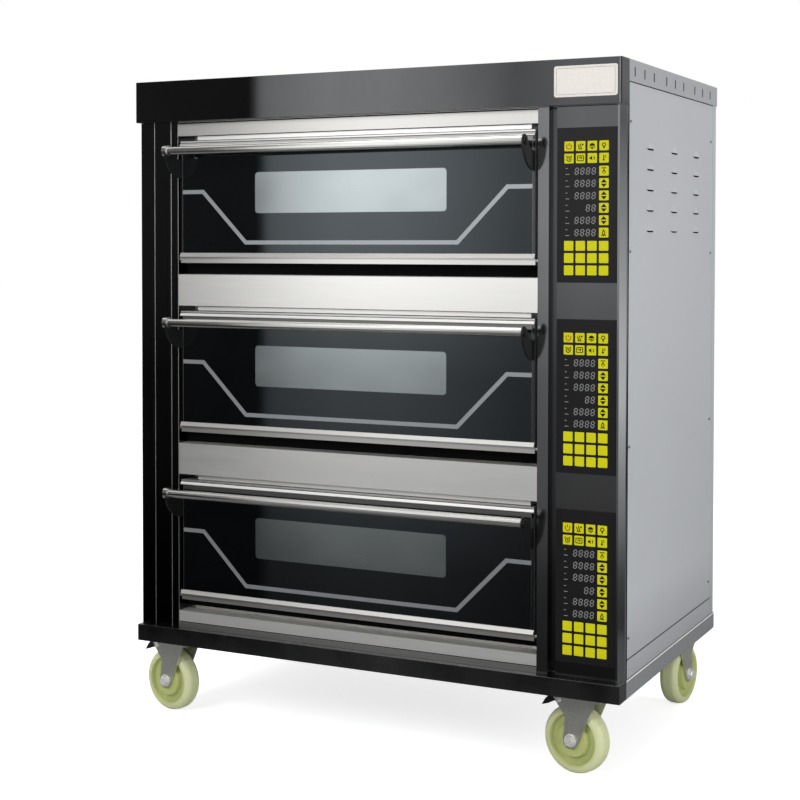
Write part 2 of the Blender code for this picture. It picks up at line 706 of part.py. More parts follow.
def baking_chamber(deck, parent):
    """A deck's steel liner with its hearth plate and its upper and lower heaters."""
    base = deck_floor(deck)
    floor = base + CAVITY_FLOOR
    ceiling = floor + CAVITY_HEIGHT
    sill = base + FASCIA_ABOVE + CLEARANCE
    section = [(MOUTH_Y, sill), (MOUTH_Y + SHEET, sill), (MOUTH_Y + SHEET, floor - SHEET),
               (LINER_BACK, floor - SHEET), (LINER_BACK, ceiling + SHEET),
               (MOUTH_Y + SHEET, ceiling + SHEET), (MOUTH_Y + SHEET, ceiling + SHEET + LINER_FLANGE),
               (MOUTH_Y, ceiling + SHEET + LINER_FLANGE)]
    liner = add_part("deck_liner_%d" % deck, outline_mesh(section, LINER_LEFT, LINER_RIGHT, "YZ"),
                     "liner_steel", parent)
    cut(liner, box_mesh((LINER_LEFT + SHEET, MOUTH_Y - CUT_MARGIN, floor),
                        (LINER_RIGHT - SHEET, LINER_BACK - SHEET, ceiling)))
    levels = {"upper": ceiling - UPPER_HEATER_DROP, "lower": floor + LOWER_HEATER_RISE}
    terminals = heater_terminals(levels["upper"]) + heater_terminals(levels["lower"])
    cut(liner, cylinders_mesh(terminals, "X", HEATER_RADIUS + 2 * CLEARANCE, 4 * SHEET, PIN_STEPS))
    for place, level in levels.items():
        heater = add_part("%s_heater_%d" % (place, deck), tube_mesh(heater_path(level), HEATER_RADIUS),
                          "heater_steel", parent)
        smooth(heater)
    front = MOUTH_Y + HEARTH_GAP
    back = LINER_BACK - SHEET - HEARTH_GAP
    foot = floor + CLEARANCE
    plate = sheet_outline([(back, foot), (back, floor + HEARTH_HEIGHT), (front, floor + HEARTH_HEIGHT),
                           (front, foot)], HEARTH_SHEET)
    add_part("hearth_plate_%d" % deck,
             outline_mesh(plate, LINER_LEFT + SHEET + HEARTH_GAP, LINER_RIGHT - SHEET - HEARTH_GAP, "YZ"),
             "liner_steel", parent)


# Doors

def door(deck, parent):
    """A door that drops forward on two pins at its lower corners, with its glass and its handle."""
    bottom = deck_floor(deck) + DOOR_BOTTOM
    axis = Vector((DOOR_CENTRE, HINGE_Y, bottom + HINGE_INSET))
    hinge = add_empty("door_hinge_%d" % deck, parent, axis)
    pieces = [door_frame(deck, bottom, hinge), door_glass(deck, bottom, hinge)]
    pieces += door_handle(deck, bottom + DOOR_HEIGHT - BAR_DROP, hinge)
    for piece in pieces:
        piece.matrix_parent_inverse = Matrix.Translation(-axis)


def door_frame(deck, bottom, hinge):
    top = bottom + DOOR_HEIGHT
    back = FASCIA_Y + DOOR_THICKNESS
    low_glass = bottom + BOTTOM_RAIL
    high_glass = top - TOP_RAIL
    pocket = FASCIA_Y + GLASS_SETBACK + GLASS_THICKNESS + CLEARANCE
    frame = add_part("door_frame_%d" % deck, box_mesh((DOOR_LEFT, FASCIA_Y, bottom),
                                                      (DOOR_RIGHT, back, top)), "steel", hinge)
    cut(frame, box_mesh((DOOR_LEFT + STILE, FASCIA_Y - CUT_MARGIN, low_glass),
                        (DOOR_RIGHT - STILE, pocket, high_glass)))
    ledge = STILE + GLASS_LEDGE
    cut(frame, box_mesh((DOOR_LEFT + ledge, FASCIA_Y - CUT_MARGIN, low_glass + GLASS_LEDGE),
                        (DOOR_RIGHT - ledge, back - DOOR_SKIN, high_glass - GLASS_LEDGE)))
    window = bottom + WINDOW_BOTTOM
    cut(frame, box_mesh((DOOR_CENTRE - WINDOW_WIDTH / 2, back - 2 * DOOR_SKIN, window),
                        (DOOR_CENTRE + WINDOW_WIDTH / 2, back + CUT_MARGIN, window + WINDOW_HEIGHT)))
    cut(frame, box_mesh((DOOR_LEFT - CUT_MARGIN, FASCIA_Y - CUT_MARGIN, bottom - CUT_MARGIN),
                        (DOOR_RIGHT + CUT_MARGIN, FASCIA_Y + RAIL_STEP, bottom + RAIL_BAND)))
    reach = DOOR_SIDE_GAP + SHEET + PIN_REACH
    offset = (reach - PIN_ROOT) / 2
    level = bottom + HINGE_INSET
    pins = [(DOOR_LEFT - offset, HINGE_Y, level), (DOOR_RIGHT + offset, HINGE_Y, level)]
    join(frame, cylinders_mesh(pins, "X", PIN_RADIUS, reach + PIN_ROOT, ROUND_STEPS))
    return frame


def door_glass(deck, bottom, hinge):
    edge = STILE + CLEARANCE
    front = FASCIA_Y + GLASS_SETBACK
    low = (DOOR_LEFT + edge, front, bottom + BOTTOM_RAIL + CLEARANCE)
    high = (DOOR_RIGHT - edge, front + GLASS_THICKNESS, bottom + DOOR_HEIGHT - TOP_RAIL - CLEARANCE)
    return add_part("door_glass_%d" % deck, box_mesh(low, high), "black_glass", hinge)


def bracket_outline(level):
    """A handle bracket's side outline: a ring about the bar on an arm that curves down to the door."""
    foot = FASCIA_Y - CLEARANCE
    reach = foot - BAR_Y
    hollow = arc((foot, level), (BRACKET_SPINE - reach, BRACKET_HOLLOW), -90.0, 0.0, ARC_POINTS)
    ring = arc((BAR_Y, level), (BRACKET_NOSE, BRACKET_NOSE), 30.0, 180.0, ARC_POINTS)
    belly = arc((foot, level), (-reach - BRACKET_NOSE, BRACKET_DROP), 0.0, -90.0, ARC_POINTS)
    return hollow + ring + belly[1:]


def door_handle(deck, level, hinge):
    """A steel tube across the door, held near each end in the bore of a black bracket."""
    half = (DOOR_RIGHT - DOOR_LEFT) / 2
    inner = BAR_RADIUS - BAR_WALL
    profile = [(BAR_RADIUS, half), (BAR_RADIUS, -half), (inner, -half), (inner, half)]
    bar_mesh = turned_mesh(profile, ROUND_STEPS, "X", closed=True)
    bar_mesh.transform(Matrix.Translation((DOOR_CENTRE, BAR_Y, level)))
    bar = add_part("handle_bar_%d" % deck, bar_mesh, "steel", hinge)
    smooth(bar)
    pieces = [bar]
    starts = {"left": DOOR_LEFT, "right": DOOR_RIGHT - BRACKET_THICKNESS}
    for side, start in starts.items():
        mesh = outline_mesh(bracket_outline(level), start, start + BRACKET_THICKNESS, "YZ")
        bracket = add_part("handle_bracket_%s_%d" % (side, deck), mesh, "black_plastic", hinge)
        bore = (start + BRACKET_THICKNESS / 2, BAR_Y, level)
        cut(bracket, cylinders_mesh([bore], "X", BAR_RADIUS + 2 * CLEARANCE, 2 * BRACKET_THICKNESS,
                                    ROUND_STEPS))
        pieces.append(bracket)
    return pieces


# Casters

def caster_plate(name, x, y, parent):
    """A fixed top plate with its bearing race and the riveted kingpin that the fork turns on."""
    half_length = PLATE_LENGTH / 2
    half_width = PLATE_WIDTH / 2
    plate = add_part(name, box_mesh((-half_width, -half_length, PLATE_TOP - PLATE_SHEET),
                                    (half_width, half_length, PLATE_TOP)), "zinc", parent, (x, y, 0))
    head_top = FORK_CROWN - CLEARANCE
    profile = [(0, PLATE_TOP - PLATE_SHEET / 2), (RACE_RADIUS, PLATE_TOP - PLATE_SHEET / 2),
               (RACE_RADIUS, RACE_BOTTOM), (KINGPIN_RADIUS, RACE_BOTTOM), (KINGPIN_RADIUS, head_top),
               (KINGPIN_HEAD_RADIUS, head_top), (KINGPIN_HEAD_RADIUS, head_top - KINGPIN_HEAD),
               (0, head_top - KINGPIN_HEAD)]
    join(plate, turned_mesh(profile, ROUND_STEPS, "Z"))


def fork_outline():
    """A fork leg's side outline: a long crown, a raked leg with a waist, and a round boss at the axle."""
    waist = (CASTER_TRAIL + FORK_WAIST_BACK, WHEEL_RADIUS + FORK_WAIST_RISE)
    boss = arc((CASTER_TRAIL, WHEEL_RADIUS), (FORK_BOSS, FORK_BOSS), 12.0, -156.0, 2 * ARC_POINTS)
    return [(-FORK_LEG_LEAD, FORK_CROWN), (-FORK_LEAD, FORK_CROWN), (-FORK_LEAD, FORK_TOP),
            (FORK_TAIL, FORK_TOP), (FORK_TAIL, FORK_TOP - FORK_TAIL_DROP), waist] + boss


def caster_fork(name, caster, braked):
    fork = add_part(name, outline_mesh(fork_outline(), -LEG_OUTER, LEG_OUTER, "XZ"), "zinc", caster)
    cut(fork, box_mesh((-FORK_LEAD - CUT_MARGIN, -LEG_INNER, 0),
                       (FORK_TAIL + CUT_MARGIN, LEG_INNER, FORK_CROWN)))
    cut(fork, cylinders_mesh([(0, 0, FORK_TOP)], "Z", KINGPIN_RADIUS + 2 * CLEARANCE, CUT_MARGIN,
                             ROUND_STEPS))
    if braked:
        cut(fork, cylinders_mesh([(PEDAL_PIVOT_U, 0, PEDAL_PIVOT_Z)], "Y", PEDAL_PIN + CLEARANCE,
                                 2 * LEG_OUTER + CUT_MARGIN, PIN_STEPS))
    head_root = LEG_OUTER - FORK_SHEET / 2
    head_tip = LEG_OUTER + AXLE_HEAD
    profile = [(0, head_tip), (AXLE_HEAD_RADIUS, head_tip), (AXLE_HEAD_RADIUS, head_root),
               (AXLE_RADIUS, head_root), (AXLE_RADIUS, -head_root), (AXLE_HEAD_RADIUS, -head_root),
               (AXLE_HEAD_RADIUS, -head_tip), (0, -head_tip)]
    axle = turned_mesh(profile, PIN_STEPS, "Y")
    axle.transform(Matrix.Translation((CASTER_TRAIL, 0, WHEEL_RADIUS)))
    join(fork, axle)


def wheel_side():
    """Half of a wheel's profile, as (radius, height) from the tread round its shoulder to the axle bore."""
    half = WHEEL_WIDTH / 2
    shoulder = half - TREAD_WIDTH / 2
    centre = (WHEEL_RADIUS - shoulder, TREAD_WIDTH / 2)
    rim = centre[0] - RIM_FLAT
    dish = rim - DISH_DRAFT
    hub_foot = dish - DISH_FLOOR
    return arc(centre, (shoulder, shoulder), 0.0, 90.0, SHOULDER_POINTS) + [
        (rim, half), (dish, half - DISH_DEPTH), (hub_foot, half - DISH_DEPTH),
        (hub_foot - HUB_DRAFT, HUB_FACE), (AXLE_RADIUS + CLEARANCE, HUB_FACE)]


def caster_wheel(name, caster):
    """A moulded wheel with rounded shoulders, dished faces and a broad hub bored for the axle."""
    side = wheel_side()
    profile = side[::-1] + [(radius, -height) for radius, height in side]
    wheel = add_part(name, turned_mesh(profile, WHEEL_STEPS, "Y", closed=True), "nylon", caster,
                     (CASTER_TRAIL, 0, WHEEL_RADIUS))
    smooth(wheel)


def brake_pedal(name, caster):
    """A foot pedal, a tongue that droops to a point, which rocks on a cross pin between the fork's legs."""
    half = PEDAL_THICKNESS / 2
    outline = [(0, half), (PEDAL_LENGTH * 3 / 5, half), (PEDAL_LENGTH * 5 / 6, -PEDAL_DROOP / 3),
               (PEDAL_LENGTH, -PEDAL_DROOP), (PEDAL_LENGTH * 2 / 3, -half - PEDAL_DROOP / 2),
               (PEDAL_LENGTH * 2 / 5, -half - PEDAL_DROOP / 9), (0, -half)]
    mesh = outline_mesh(outline, -PEDAL_WIDTH / 2, PEDAL_WIDTH / 2, "XZ")
    pedal = add_part(name, mesh, "black_plastic", caster, (PEDAL_PIVOT_U, 0, PEDAL_PIVOT_Z))
    shoulder = LEG_INNER - CLEARANCE
    profile = [(0, LEG_OUTER), (PEDAL_PIN, LEG_OUTER), (PEDAL_PIN, shoulder), (PEDAL_BARREL, shoulder),
               (PEDAL_BARREL, -shoulder), (PEDAL_PIN, -shoulder), (PEDAL_PIN, -LEG_OUTER), (0, -LEG_OUTER)]
    join(pedal, turned_mesh(profile, PIN_STEPS, "Y"))


def casters(parent):
    for row, y, turn in (("front", -CASTER_Y, FRONT_CASTER_TURN), ("rear", CASTER_Y, REAR_CASTER_TURN)):
        for side, x in (("left", -CASTER_X), ("right", CASTER_X)):
            place = "%s_%s" % (row, side)
            braked = row == "front"
            caster_plate("caster_plate_" + place, x, y, parent)
            caster = add_empty("caster_" + place, parent, (x, y, 0), turn)
            caster_fork("caster_fork_" + place, caster, braked)
            caster_wheel("caster_wheel_" + place, caster)
            if braked:
                brake_pedal("brake_pedal_" + place, caster)


def caster_reach(corners, angle):
    """How far a caster reaches from its kingpin along an axis at an angle to its trail, from its corners."""
    return max(along * abs(math.cos(angle)) + across * abs(math.sin(angle)) for along, across in corners)


def box_centre():
    """The centre of the whole part's box in the oven's frame, from its outermost pieces."""
    wheel = [(CASTER_TRAIL + radius, height) for radius, height in wheel_side()]
    pedal_tip = (PEDAL_PIVOT_U + PEDAL_LENGTH, PEDAL_WIDTH / 2)
    left = -CASTER_X - caster_reach(wheel + [pedal_tip], FRONT_CASTER_TURN)
    front = BAR_Y - BRACKET_NOSE
    back = CASTER_Y + caster_reach(wheel, REAR_CASTER_TURN - math.pi / 2)
    return (left + OUTER_X) / 2, (front + back) / 2


def deck_oven():
    centre_x, centre_y = box_centre()
    oven = add_empty("oven_frame", None, (-centre_x, -centre_y, 0))
    base_chassis(oven)
    trim_channel("base_front_trim", CASTER_HEIGHT, BASE_TOP, oven)
    trim_channel("hood_front", STACK_TOP, OVEN_TOP, oven)
    top_cover(oven)
    side_panel("left_side_panel", -1, oven)
    vented = side_panel("right_side_panel", 1, oven)
    join(vented, louvre_mesh(0.0, 0.0))
    cut(vented, louvre_mesh(LOUVRE_SHEET, LOUVRE_SHEET))
    back_panel(oven)
    power_inlet_gland(oven)
    left_column(oven)
    right_column(oven)
    control_panel(oven)
    fascia_bands(oven)
    for deck in range(1, DECK_COUNT + 1):
        baking_chamber(deck, oven)
        door(deck, oven)
    casters(oven)


clear_scene()
PARTS = make_collection("deck_oven")
CUTTERS = make_collection("cutters")
deck_oven()
bpy.context.view_layer.update()
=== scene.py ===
"""Finishes, printed detail, fasteners, studio and camera of the three-deck oven."""

import json
import math

import bmesh
import bpy
from mathutils import Matrix, Vector


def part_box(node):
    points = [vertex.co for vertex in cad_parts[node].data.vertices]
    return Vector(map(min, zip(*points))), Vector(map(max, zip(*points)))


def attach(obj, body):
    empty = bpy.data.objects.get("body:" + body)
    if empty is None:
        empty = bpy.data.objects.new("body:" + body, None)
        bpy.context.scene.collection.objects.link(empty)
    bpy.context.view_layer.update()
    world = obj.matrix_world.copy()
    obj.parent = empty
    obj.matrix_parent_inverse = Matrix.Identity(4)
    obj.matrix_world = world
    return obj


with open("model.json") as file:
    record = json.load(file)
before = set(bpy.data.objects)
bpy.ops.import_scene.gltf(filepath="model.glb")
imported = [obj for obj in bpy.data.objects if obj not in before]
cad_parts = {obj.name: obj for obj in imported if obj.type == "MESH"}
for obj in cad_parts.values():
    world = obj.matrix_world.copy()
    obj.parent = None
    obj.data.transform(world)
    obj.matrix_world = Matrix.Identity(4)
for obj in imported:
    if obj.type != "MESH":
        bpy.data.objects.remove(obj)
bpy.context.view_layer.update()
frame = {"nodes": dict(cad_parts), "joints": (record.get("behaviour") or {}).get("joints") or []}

DECKS = (1, 2, 3)
CABINET_CENTRE_Y = 0.0219

# Camera, for a square picture
CAMERA_SENSOR = 36.0
CAMERA_PLACE = (1.658, -3.643, 1.1591)
CAMERA_YAW = 27.501
CAMERA_PITCH = -1.6
CAMERA_LENS = 72.67
CAMERA_SHIFT = (0.08, -0.139)

# Bare plate on the hood
PLATE_SIZE = (0.140, 0.066)
PLATE_CORNER = 0.005
PLATE_RIGHT_INSET = 0.010
PLATE_TOP_INSET = 0.015
PLATE_THICKNESS = 0.0016
PLATE_RIM = 0.003
PLATE_LINE_INSET = 0.0055
PLATE_LINE = 0.0007

# Printing on the door glass
PRINT_THICKNESS = 0.00015
LINE_WIDTH = 0.0095
LINE_HIGH = 0.170
LINE_LOW = 0.049
LINE_HIGH_END = 0.389
LINE_LOW_END = 0.271
WINDOW_SIZE = (0.490, 0.096)
WINDOW_BOTTOM = 0.118
WINDOW_CORNER = 0.008

# Dark strips painted as shade on the sills
SILL_SHADE_THICKNESS = 0.0012
SILL_SHADE_NARROW = 0.021
SILL_SHADE_LAP = 0.0010
SILL_SHADE_CORNER = 0.003

# Trim strips on the front, with painted highlight lines and painted shadow lines
STRIP_CORNER = 0.0008
STRIP_CHAMFER = 0.0006
TRIM_THICKNESS = 0.00025
HOOD_STRIP = 0.0018
HOOD_STRIP_DEPTH = 0.010
RECESS_GAP_ABOVE = 0.0010
RECESS_GAP_BELOW = 0.0015
RECESS_SETBACK = 0.007
RECESS_LEFT = 0.050
RECESS_RIGHT = 0.017
GLASS_CAP = 0.011
RAIL_SHADOW_DROP = 0.0038
RAIL_SHADOW_WIDTH = 0.0013
STILE_WIDTH = 0.0058
TOP_RAIL = 0.012
SEAM_RISE = 0.0145
SEAM_WIDTH = 0.0016
FOLD_PLACES = (0.0387, 0.0862, 0.1058)
FOLD_WIDTH = 0.0012
HOOD_HIGHLIGHT_INSET = 0.0055
HOOD_DARK_LINE_INSET = 0.0025
BEVEL_REACH = 0.0054
BEVEL_HEIGHT = 0.0099
TOP_BEVEL_REACH = 0.0042
TOP_BEVEL_HEIGHT = 0.0066
BEVEL_LIP = 0.0012
BEVEL_SHARP = 20.0

# Seams, painted louvre shadows and a painted edge highlight on the right side
SIDE_FACE_INSET = 0.0023
SIDE_SEAM_RISE = 0.042
SIDE_SEAM_BACK = 0.030
SIDE_SEAM_WIDTH = 0.0018
SIDE_GAP_WIDTH = 0.008
CHASSIS_HIGHLIGHT_WIDTH = 0.0028
LOUVRE_TOP = 1.374
LOUVRE_ROW_PITCH = 0.045
LOUVRE_ROWS = 5
LOUVRE_COLUMN_PITCH = 0.190
LOUVRE_HEIGHT = 0.013
LOUVRE_SHADOW_OUTLINE = [(-0.028, 0.0), (-0.014, -0.0032), (0.022, -0.0032), (0.028, 0.0)]

# Dark sheets painted as shade in the cover's vent slots
VENT_DROP = 0.025
VENT_GROUP_PITCH = 0.240
VENT_PITCH = 0.071
VENT_SIZE = (0.0066, 0.0196)
VENT_CORNER = 0.0008
VENT_SINK = 0.0003
VENT_SHEET = 0.0008

# Keypad layout, measured from the keypad's left and top edges
KEY_SIZE = 0.0208
KEY_CORNER = 0.0016
KEY_RISE = 0.0004
KEY_LEFT = 0.0266
KEY_PITCH = 0.0258
KEY_COLUMNS = 4
ICON_ROW = 0.0395
ICON_ROWS = 2
DISPLAY_ROW = 0.0929
DISPLAY_ROWS = 6
PLAIN_ROW = 0.2514
PLAIN_ROWS = 3
ROW_PITCH = 0.0261
INK_RISE = 0.00012
INK_WIDTH = 0.0018
DIGIT_COUNT = 4
SHORT_DISPLAY_ROW = 3
SHORT_DISPLAY_START = 2
DIGIT_LEFT = 0.0440
DIGIT_PITCH = 0.0125
DIGIT_SIZE = (0.0086, 0.0150)
DIGIT_STROKE = 0.0017
DIGIT_SLANT = math.tan(math.radians(7.0))
SEGMENT_INSET = 0.62 * DIGIT_STROKE
MARK_LEFT = 0.0190
MARK_WIDTH = 0.0013
MARK_LINES = ((0.0062, 0.0045), (-0.0062, 0.0085))

# Fasteners and caps, with profiles of (radius, height)
ROUND_STEPS = 24
PIN_STEPS = 20
HEXAGON = 6
HEXAGON_SHARP = 25.0
SCREW_RADIUS = 0.0038
SCREW_RISE = 0.0026
SCREW_HEAD = [(1.0, 0.0), (1.0, 0.25), (0.88, 0.68), (0.66, 1.0)]
SCREW_RECESS = [(0.50, 1.0), (0.40, 0.45)]
RECESS_WAIST = 0.45
FRONT_SCREW_LEVELS = (1.419, 1.143, 0.727, 0.317)
BACK_SCREW_LEVELS = (1.412, 1.137, 0.723, 0.315)
SIDE_SCREW_FRONT = 0.0147
SIDE_SCREW_BACK = 0.050
BACK_SCREW_INSET = 0.016
BACK_SCREW_TOP = 0.064
CAP_LENGTH = 0.0085
CAP_EDGE_SHARE = 0.8
SLEEVE_REACH = 0.0049
SLEEVE_WALL = 0.0037
PLUG_LENGTH = 0.0030
PLUG_STEM_SHARE = 0.7
PLUG_FACE_SHARE = 0.85
WASHER_PROFILE = [(0.0150, 0.0), (0.0150, 0.00112), (0.01425, 0.0016)]
NUT_PROFILE = [(0.0125, 0.0), (0.0125, 0.0064), (0.01075, 0.0080)]
PIN_PROFILE = [(0.0062, 0.0), (0.0062, 0.0012), (0.0048, 0.0026), (0.0024, 0.0033)]
BOLT_WASHER_PROFILE = [(0.0085, 0.0), (0.0085, 0.0012)]
BOLT_PROFILE = [(0.0072, 0.0012), (0.0072, 0.0055), (0.0062, 0.0065)]
BOLT_INSET = 0.016

# Casters
FORK_LEG_OUTER = 0.0292
CASTER_PLATE_THICKNESS = 0.005
# Distances from a wheel's centre over which the shade painted in its dish fades to the rim colour
WHEEL_DISH_SHADE_SPAN = (0.057, 0.067)

# Mesh detail
CORNER_STEPS = 5
SHARP_ANGLE = 30.0
WELD_REACH = 0.00001
EDGE_ANGLE = 40.0
EDGE_SEGMENTS = 2

# Studio, with brightness stops of (place, level) along the cards
WORLD_FILL = 0.50
FLOOR_SIZE = 60.0
FLOOR_LEVEL = 0.82
FLOOR_MIRRORED = 0.22
FLOOR_GLOW = 0.70
CARD_FOOT = 0.002
CARD_TOP = 2.6
CARD_SPAN = (-2.0, 2.0)
CARD_RISE = (-0.5, 2.5)
FRONT_CARD_Y = -0.95
FRONT_CARD_ENDS = (-2.6, 2.6)
FRONT_STRENGTH = 1.5
FRONT_ACROSS = [(-1.2, 0.05), (-0.60, 0.035), (-0.57, 0.62), (-0.54, 0.72), (-0.36, 1.0), (-0.19, 1.0),
                (-0.04, 0.80), (0.18, 0.42), (0.33, 0.55), (1.2, 0.5)]
FRONT_UP = [(0.05, 0.05), (0.30, 0.10), (0.52, 0.30), (0.80, 0.40), (1.05, 0.85), (1.30, 1.0), (2.0, 1.0)]
RIGHT_CARD_X = 1.9
RIGHT_CARD_ENDS = (-0.4, 5.0)
RIGHT_STRENGTH = 1.0
RIGHT_ALONG = [(0.6, 1.0), (1.6, 0.36)]
RIGHT_UP = [(0.05, 0.10), (0.18, 0.18), (0.47, 0.75), (0.70, 1.45), (0.95, 1.25), (1.28, 0.72),
            (1.54, 0.30), (1.9, 1.2)]

# Softboxes: name, place, target, size and power
SOFTBOXES = (
    ("right_softbox", (4.4, -2.4, 1.2), (0.4, 0.0, 0.6), (2.4, 2.4), 88.0),
    ("front_softbox", (-1.2, -4.6, 3.4), (0.0, 0.0, 0.8), (2.6, 2.0), 110.0),
    ("top_softbox", (0.0, 0.4, 4.4), (0.0, 0.0, 1.0), (3.0, 2.4), 90.0),
)

# Textures and colours
NOISE = "ShaderNodeTexNoise"
CELLS = "ShaderNodeTexVoronoi"
TEXTURE_RANGE = (0.3, 0.7)
SHEET_GRAIN = (7.0, 1400.0, 1400.0)
TUBE_GRAIN = (14.0, 700.0, 700.0)
MILL_GRAIN = (40.0, 700.0, 700.0)
PAINT_TINT = (0.965, 1.0, 1.045)
BLACK_TINT = (0.98, 1.0, 1.03)
# Height share over which the shade painted at a panel's foot fades out
FOOT_SHADE_RISE = 0.13
# Wheel colours: the rim's, and the dish's painted darker and greener as shade in the recess
NYLON_RIM = (0.60, 0.63, 0.37)
NYLON_DISH_SHADE = (0.44, 0.48, 0.18)


# Node helpers

def new_material(name, colour, roughness, metallic=0.0, **sockets):
    """A Principled material with its even values on the shader's own sockets."""
    material = bpy.data.materials.new(name)
    material.use_nodes = True
    shader = material.node_tree.nodes["Principled BSDF"]
    shader.inputs["Base Color"].default_value = (*colour, 1.0)
    shader.inputs["Roughness"].default_value = roughness
    shader.inputs["Metallic"].default_value = metallic
    for socket, value in sockets.items():
        shader.inputs[socket.replace("_", " ").title().replace("Ior", "IOR")].default_value = value
    return material


def texture(material, kind, scale, stretch=(1.0, 1.0, 1.0), **settings):
    """A texture's factor, in the piece's own metres, finer along the axes with a larger stretch."""
    tree = material.node_tree
    coordinates = tree.nodes.new("ShaderNodeTexCoord")
    mapping = tree.nodes.new("ShaderNodeMapping")
    mapping.inputs["Scale"].default_value = [scale * share for share in stretch]
    tree.links.new(coordinates.outputs["Object"], mapping.inputs["Vector"])
    node = tree.nodes.new(kind)
    for socket, value in settings.items():
        node.inputs[socket.title()].default_value = value
    tree.links.new(mapping.outputs["Vector"], node.inputs["Vector"])
    node.inputs["Scale"].default_value = 1.0
    return node.outputs[0]


def vary_colour(material, factor, low, high, span=TEXTURE_RANGE):
    """Runs the base colour from low to high as a texture's factor goes through a span."""
    tree = material.node_tree
    ramp = tree.nodes.new("ShaderNodeValToRGB")
    for element, place, colour in zip(ramp.color_ramp.elements, span, (low, high)):
        element.position = place
        element.color = (*colour, 1.0)
    tree.links.new(factor, ramp.inputs["Fac"])
    tree.links.new(ramp.outputs["Color"], tree.nodes["Principled BSDF"].inputs["Base Color"])


def remap(tree, factor, before, after):
    """A value that runs through one range as a factor runs through another."""
    span = tree.nodes.new("ShaderNodeMapRange")
    for socket, value in zip(("From Min", "From Max", "To Min", "To Max"), (*before, *after)):
        span.inputs[socket].default_value = value
    tree.links.new(factor, span.inputs["Value"])
    return span.outputs["Result"]


def vary_roughness(material, factor, low, high):
    """Runs the roughness from low to high with a texture's factor."""
    tree = material.node_tree
    result = remap(tree, factor, TEXTURE_RANGE, (low, high))
    tree.links.new(result, tree.nodes["Principled BSDF"].inputs["Roughness"])


def paint_foot_shade(material, level):
    """Paints shade at the foot of a piece: multiplies the base colour by a level there, which fades out
    further up.
    """
    tree = material.node_tree
    coordinates = tree.nodes.new("ShaderNodeTexCoord")
    axes = tree.nodes.new("ShaderNodeSeparateXYZ")
    tree.links.new(coordinates.outputs["Generated"], axes.inputs[0])
    product = tree.nodes.new("ShaderNodeVectorMath")
    product.operation = "MULTIPLY"
    socket = tree.nodes["Principled BSDF"].inputs["Base Color"]
    tree.links.new(socket.links[0].from_socket, product.inputs[0])
    tree.links.new(remap(tree, axes.outputs["Z"], (0.0, FOOT_SHADE_RISE), (level, 1.0)), product.inputs[1])
    tree.links.new(product.outputs[0], socket)


def add_bump(material, factor, distance):
    """Raises the surface by a texture's factor, on top of any earlier bump."""
    tree = material.node_tree
    shader = tree.nodes["Principled BSDF"]
    bump = tree.nodes.new("ShaderNodeBump")
    bump.inputs["Distance"].default_value = distance
    bump.inputs["Strength"].default_value = 1.0
    tree.links.new(factor, bump.inputs["Height"])
    if shader.inputs["Normal"].is_linked:
        tree.links.new(shader.inputs["Normal"].links[0].from_socket, bump.inputs["Normal"])
    tree.links.new(bump.outputs["Normal"], shader.inputs["Normal"])


def shaded(colour, share):
    """A colour made lighter or darker, up to white."""
    return [min(1.0, share * part) for part in colour]


# Finishes

def mirror_black(name, reflectance, roughness):
    """Black-coated mirror steel: faint smears, and the slow waves of a thin folded sheet."""
    tint = shaded(BLACK_TINT, reflectance)
    material = new_material(name, tint, roughness, 1.0)
    smears = texture(material, NOISE, 7.0, (1.0, 1.0, 0.5), detail=5.0, roughness=0.6)
    vary_colour(material, smears, shaded(tint, 0.93), shaded(tint, 1.05))
    vary_roughness(material, smears, roughness * 0.7, roughness * 1.6)
    waves = texture(material, NOISE, 2.2, detail=0.0)
    add_bump(material, waves, 0.0008)
    return material


def brushed_steel(name, colour, roughness, stretch=SHEET_GRAIN):
    """Stainless steel with its grain along one axis."""
    material = new_material(name, colour, roughness, 1.0)
    grain = texture(material, NOISE, 1.0, stretch, detail=3.0, roughness=0.7)
    vary_colour(material, grain, shaded(colour, 0.96), shaded(colour, 1.03))
    vary_roughness(material, grain, roughness * 0.9, roughness * 1.1)
    add_bump(material, grain, 0.00002)
    waves = texture(material, NOISE, 3.0, detail=1.0)
    add_bump(material, waves, 0.0006)
    return material


def satin_paint(name, level, foot=1.0):
    """Grey baked paint with fine orange peel, and shade painted towards the foot of a panel."""
    colour = shaded(PAINT_TINT, level)
    material = new_material(name, colour, 0.42)
    cloud = texture(material, NOISE, 2.0, detail=3.0)
    vary_colour(material, cloud, shaded(colour, 0.97), shaded(colour, 1.03))
    # Shade painted at the panel's foot
    paint_foot_shade(material, foot)
    peel = texture(material, NOISE, 420.0, detail=2.0)
    vary_roughness(material, peel, 0.38, 0.47)
    add_bump(material, peel, 0.00008)
    return material


def black_glass(name):
    """Black-backed toughened glass with faint smears."""
    material = new_material(name, (0.0015, 0.0017, 0.002), 0.02, ior=1.8,
                            specular_tint=(0.78, 0.90, 0.97, 1.0))
    smears = texture(material, NOISE, 9.0, (1.0, 1.0, 0.4), detail=6.0, roughness=0.65)
    vary_roughness(material, smears, 0.012, 0.045)
    vary_colour(material, smears, (0.0012, 0.0014, 0.0018), (0.0022, 0.0024, 0.0028))
    return material


def coated_pane(name):
    """The clear window: heat-reflecting coated glass in front of a dim chamber."""
    material = new_material(name, (0.37, 0.41, 0.42), 0.26, 1.0)
    haze = texture(material, NOISE, 6.0, (1.0, 1.0, 1.6), detail=1.0)
    vary_colour(material, haze, (0.35, 0.39, 0.40), (0.39, 0.43, 0.44))
    vary_roughness(material, haze, 0.23, 0.29)
    return material


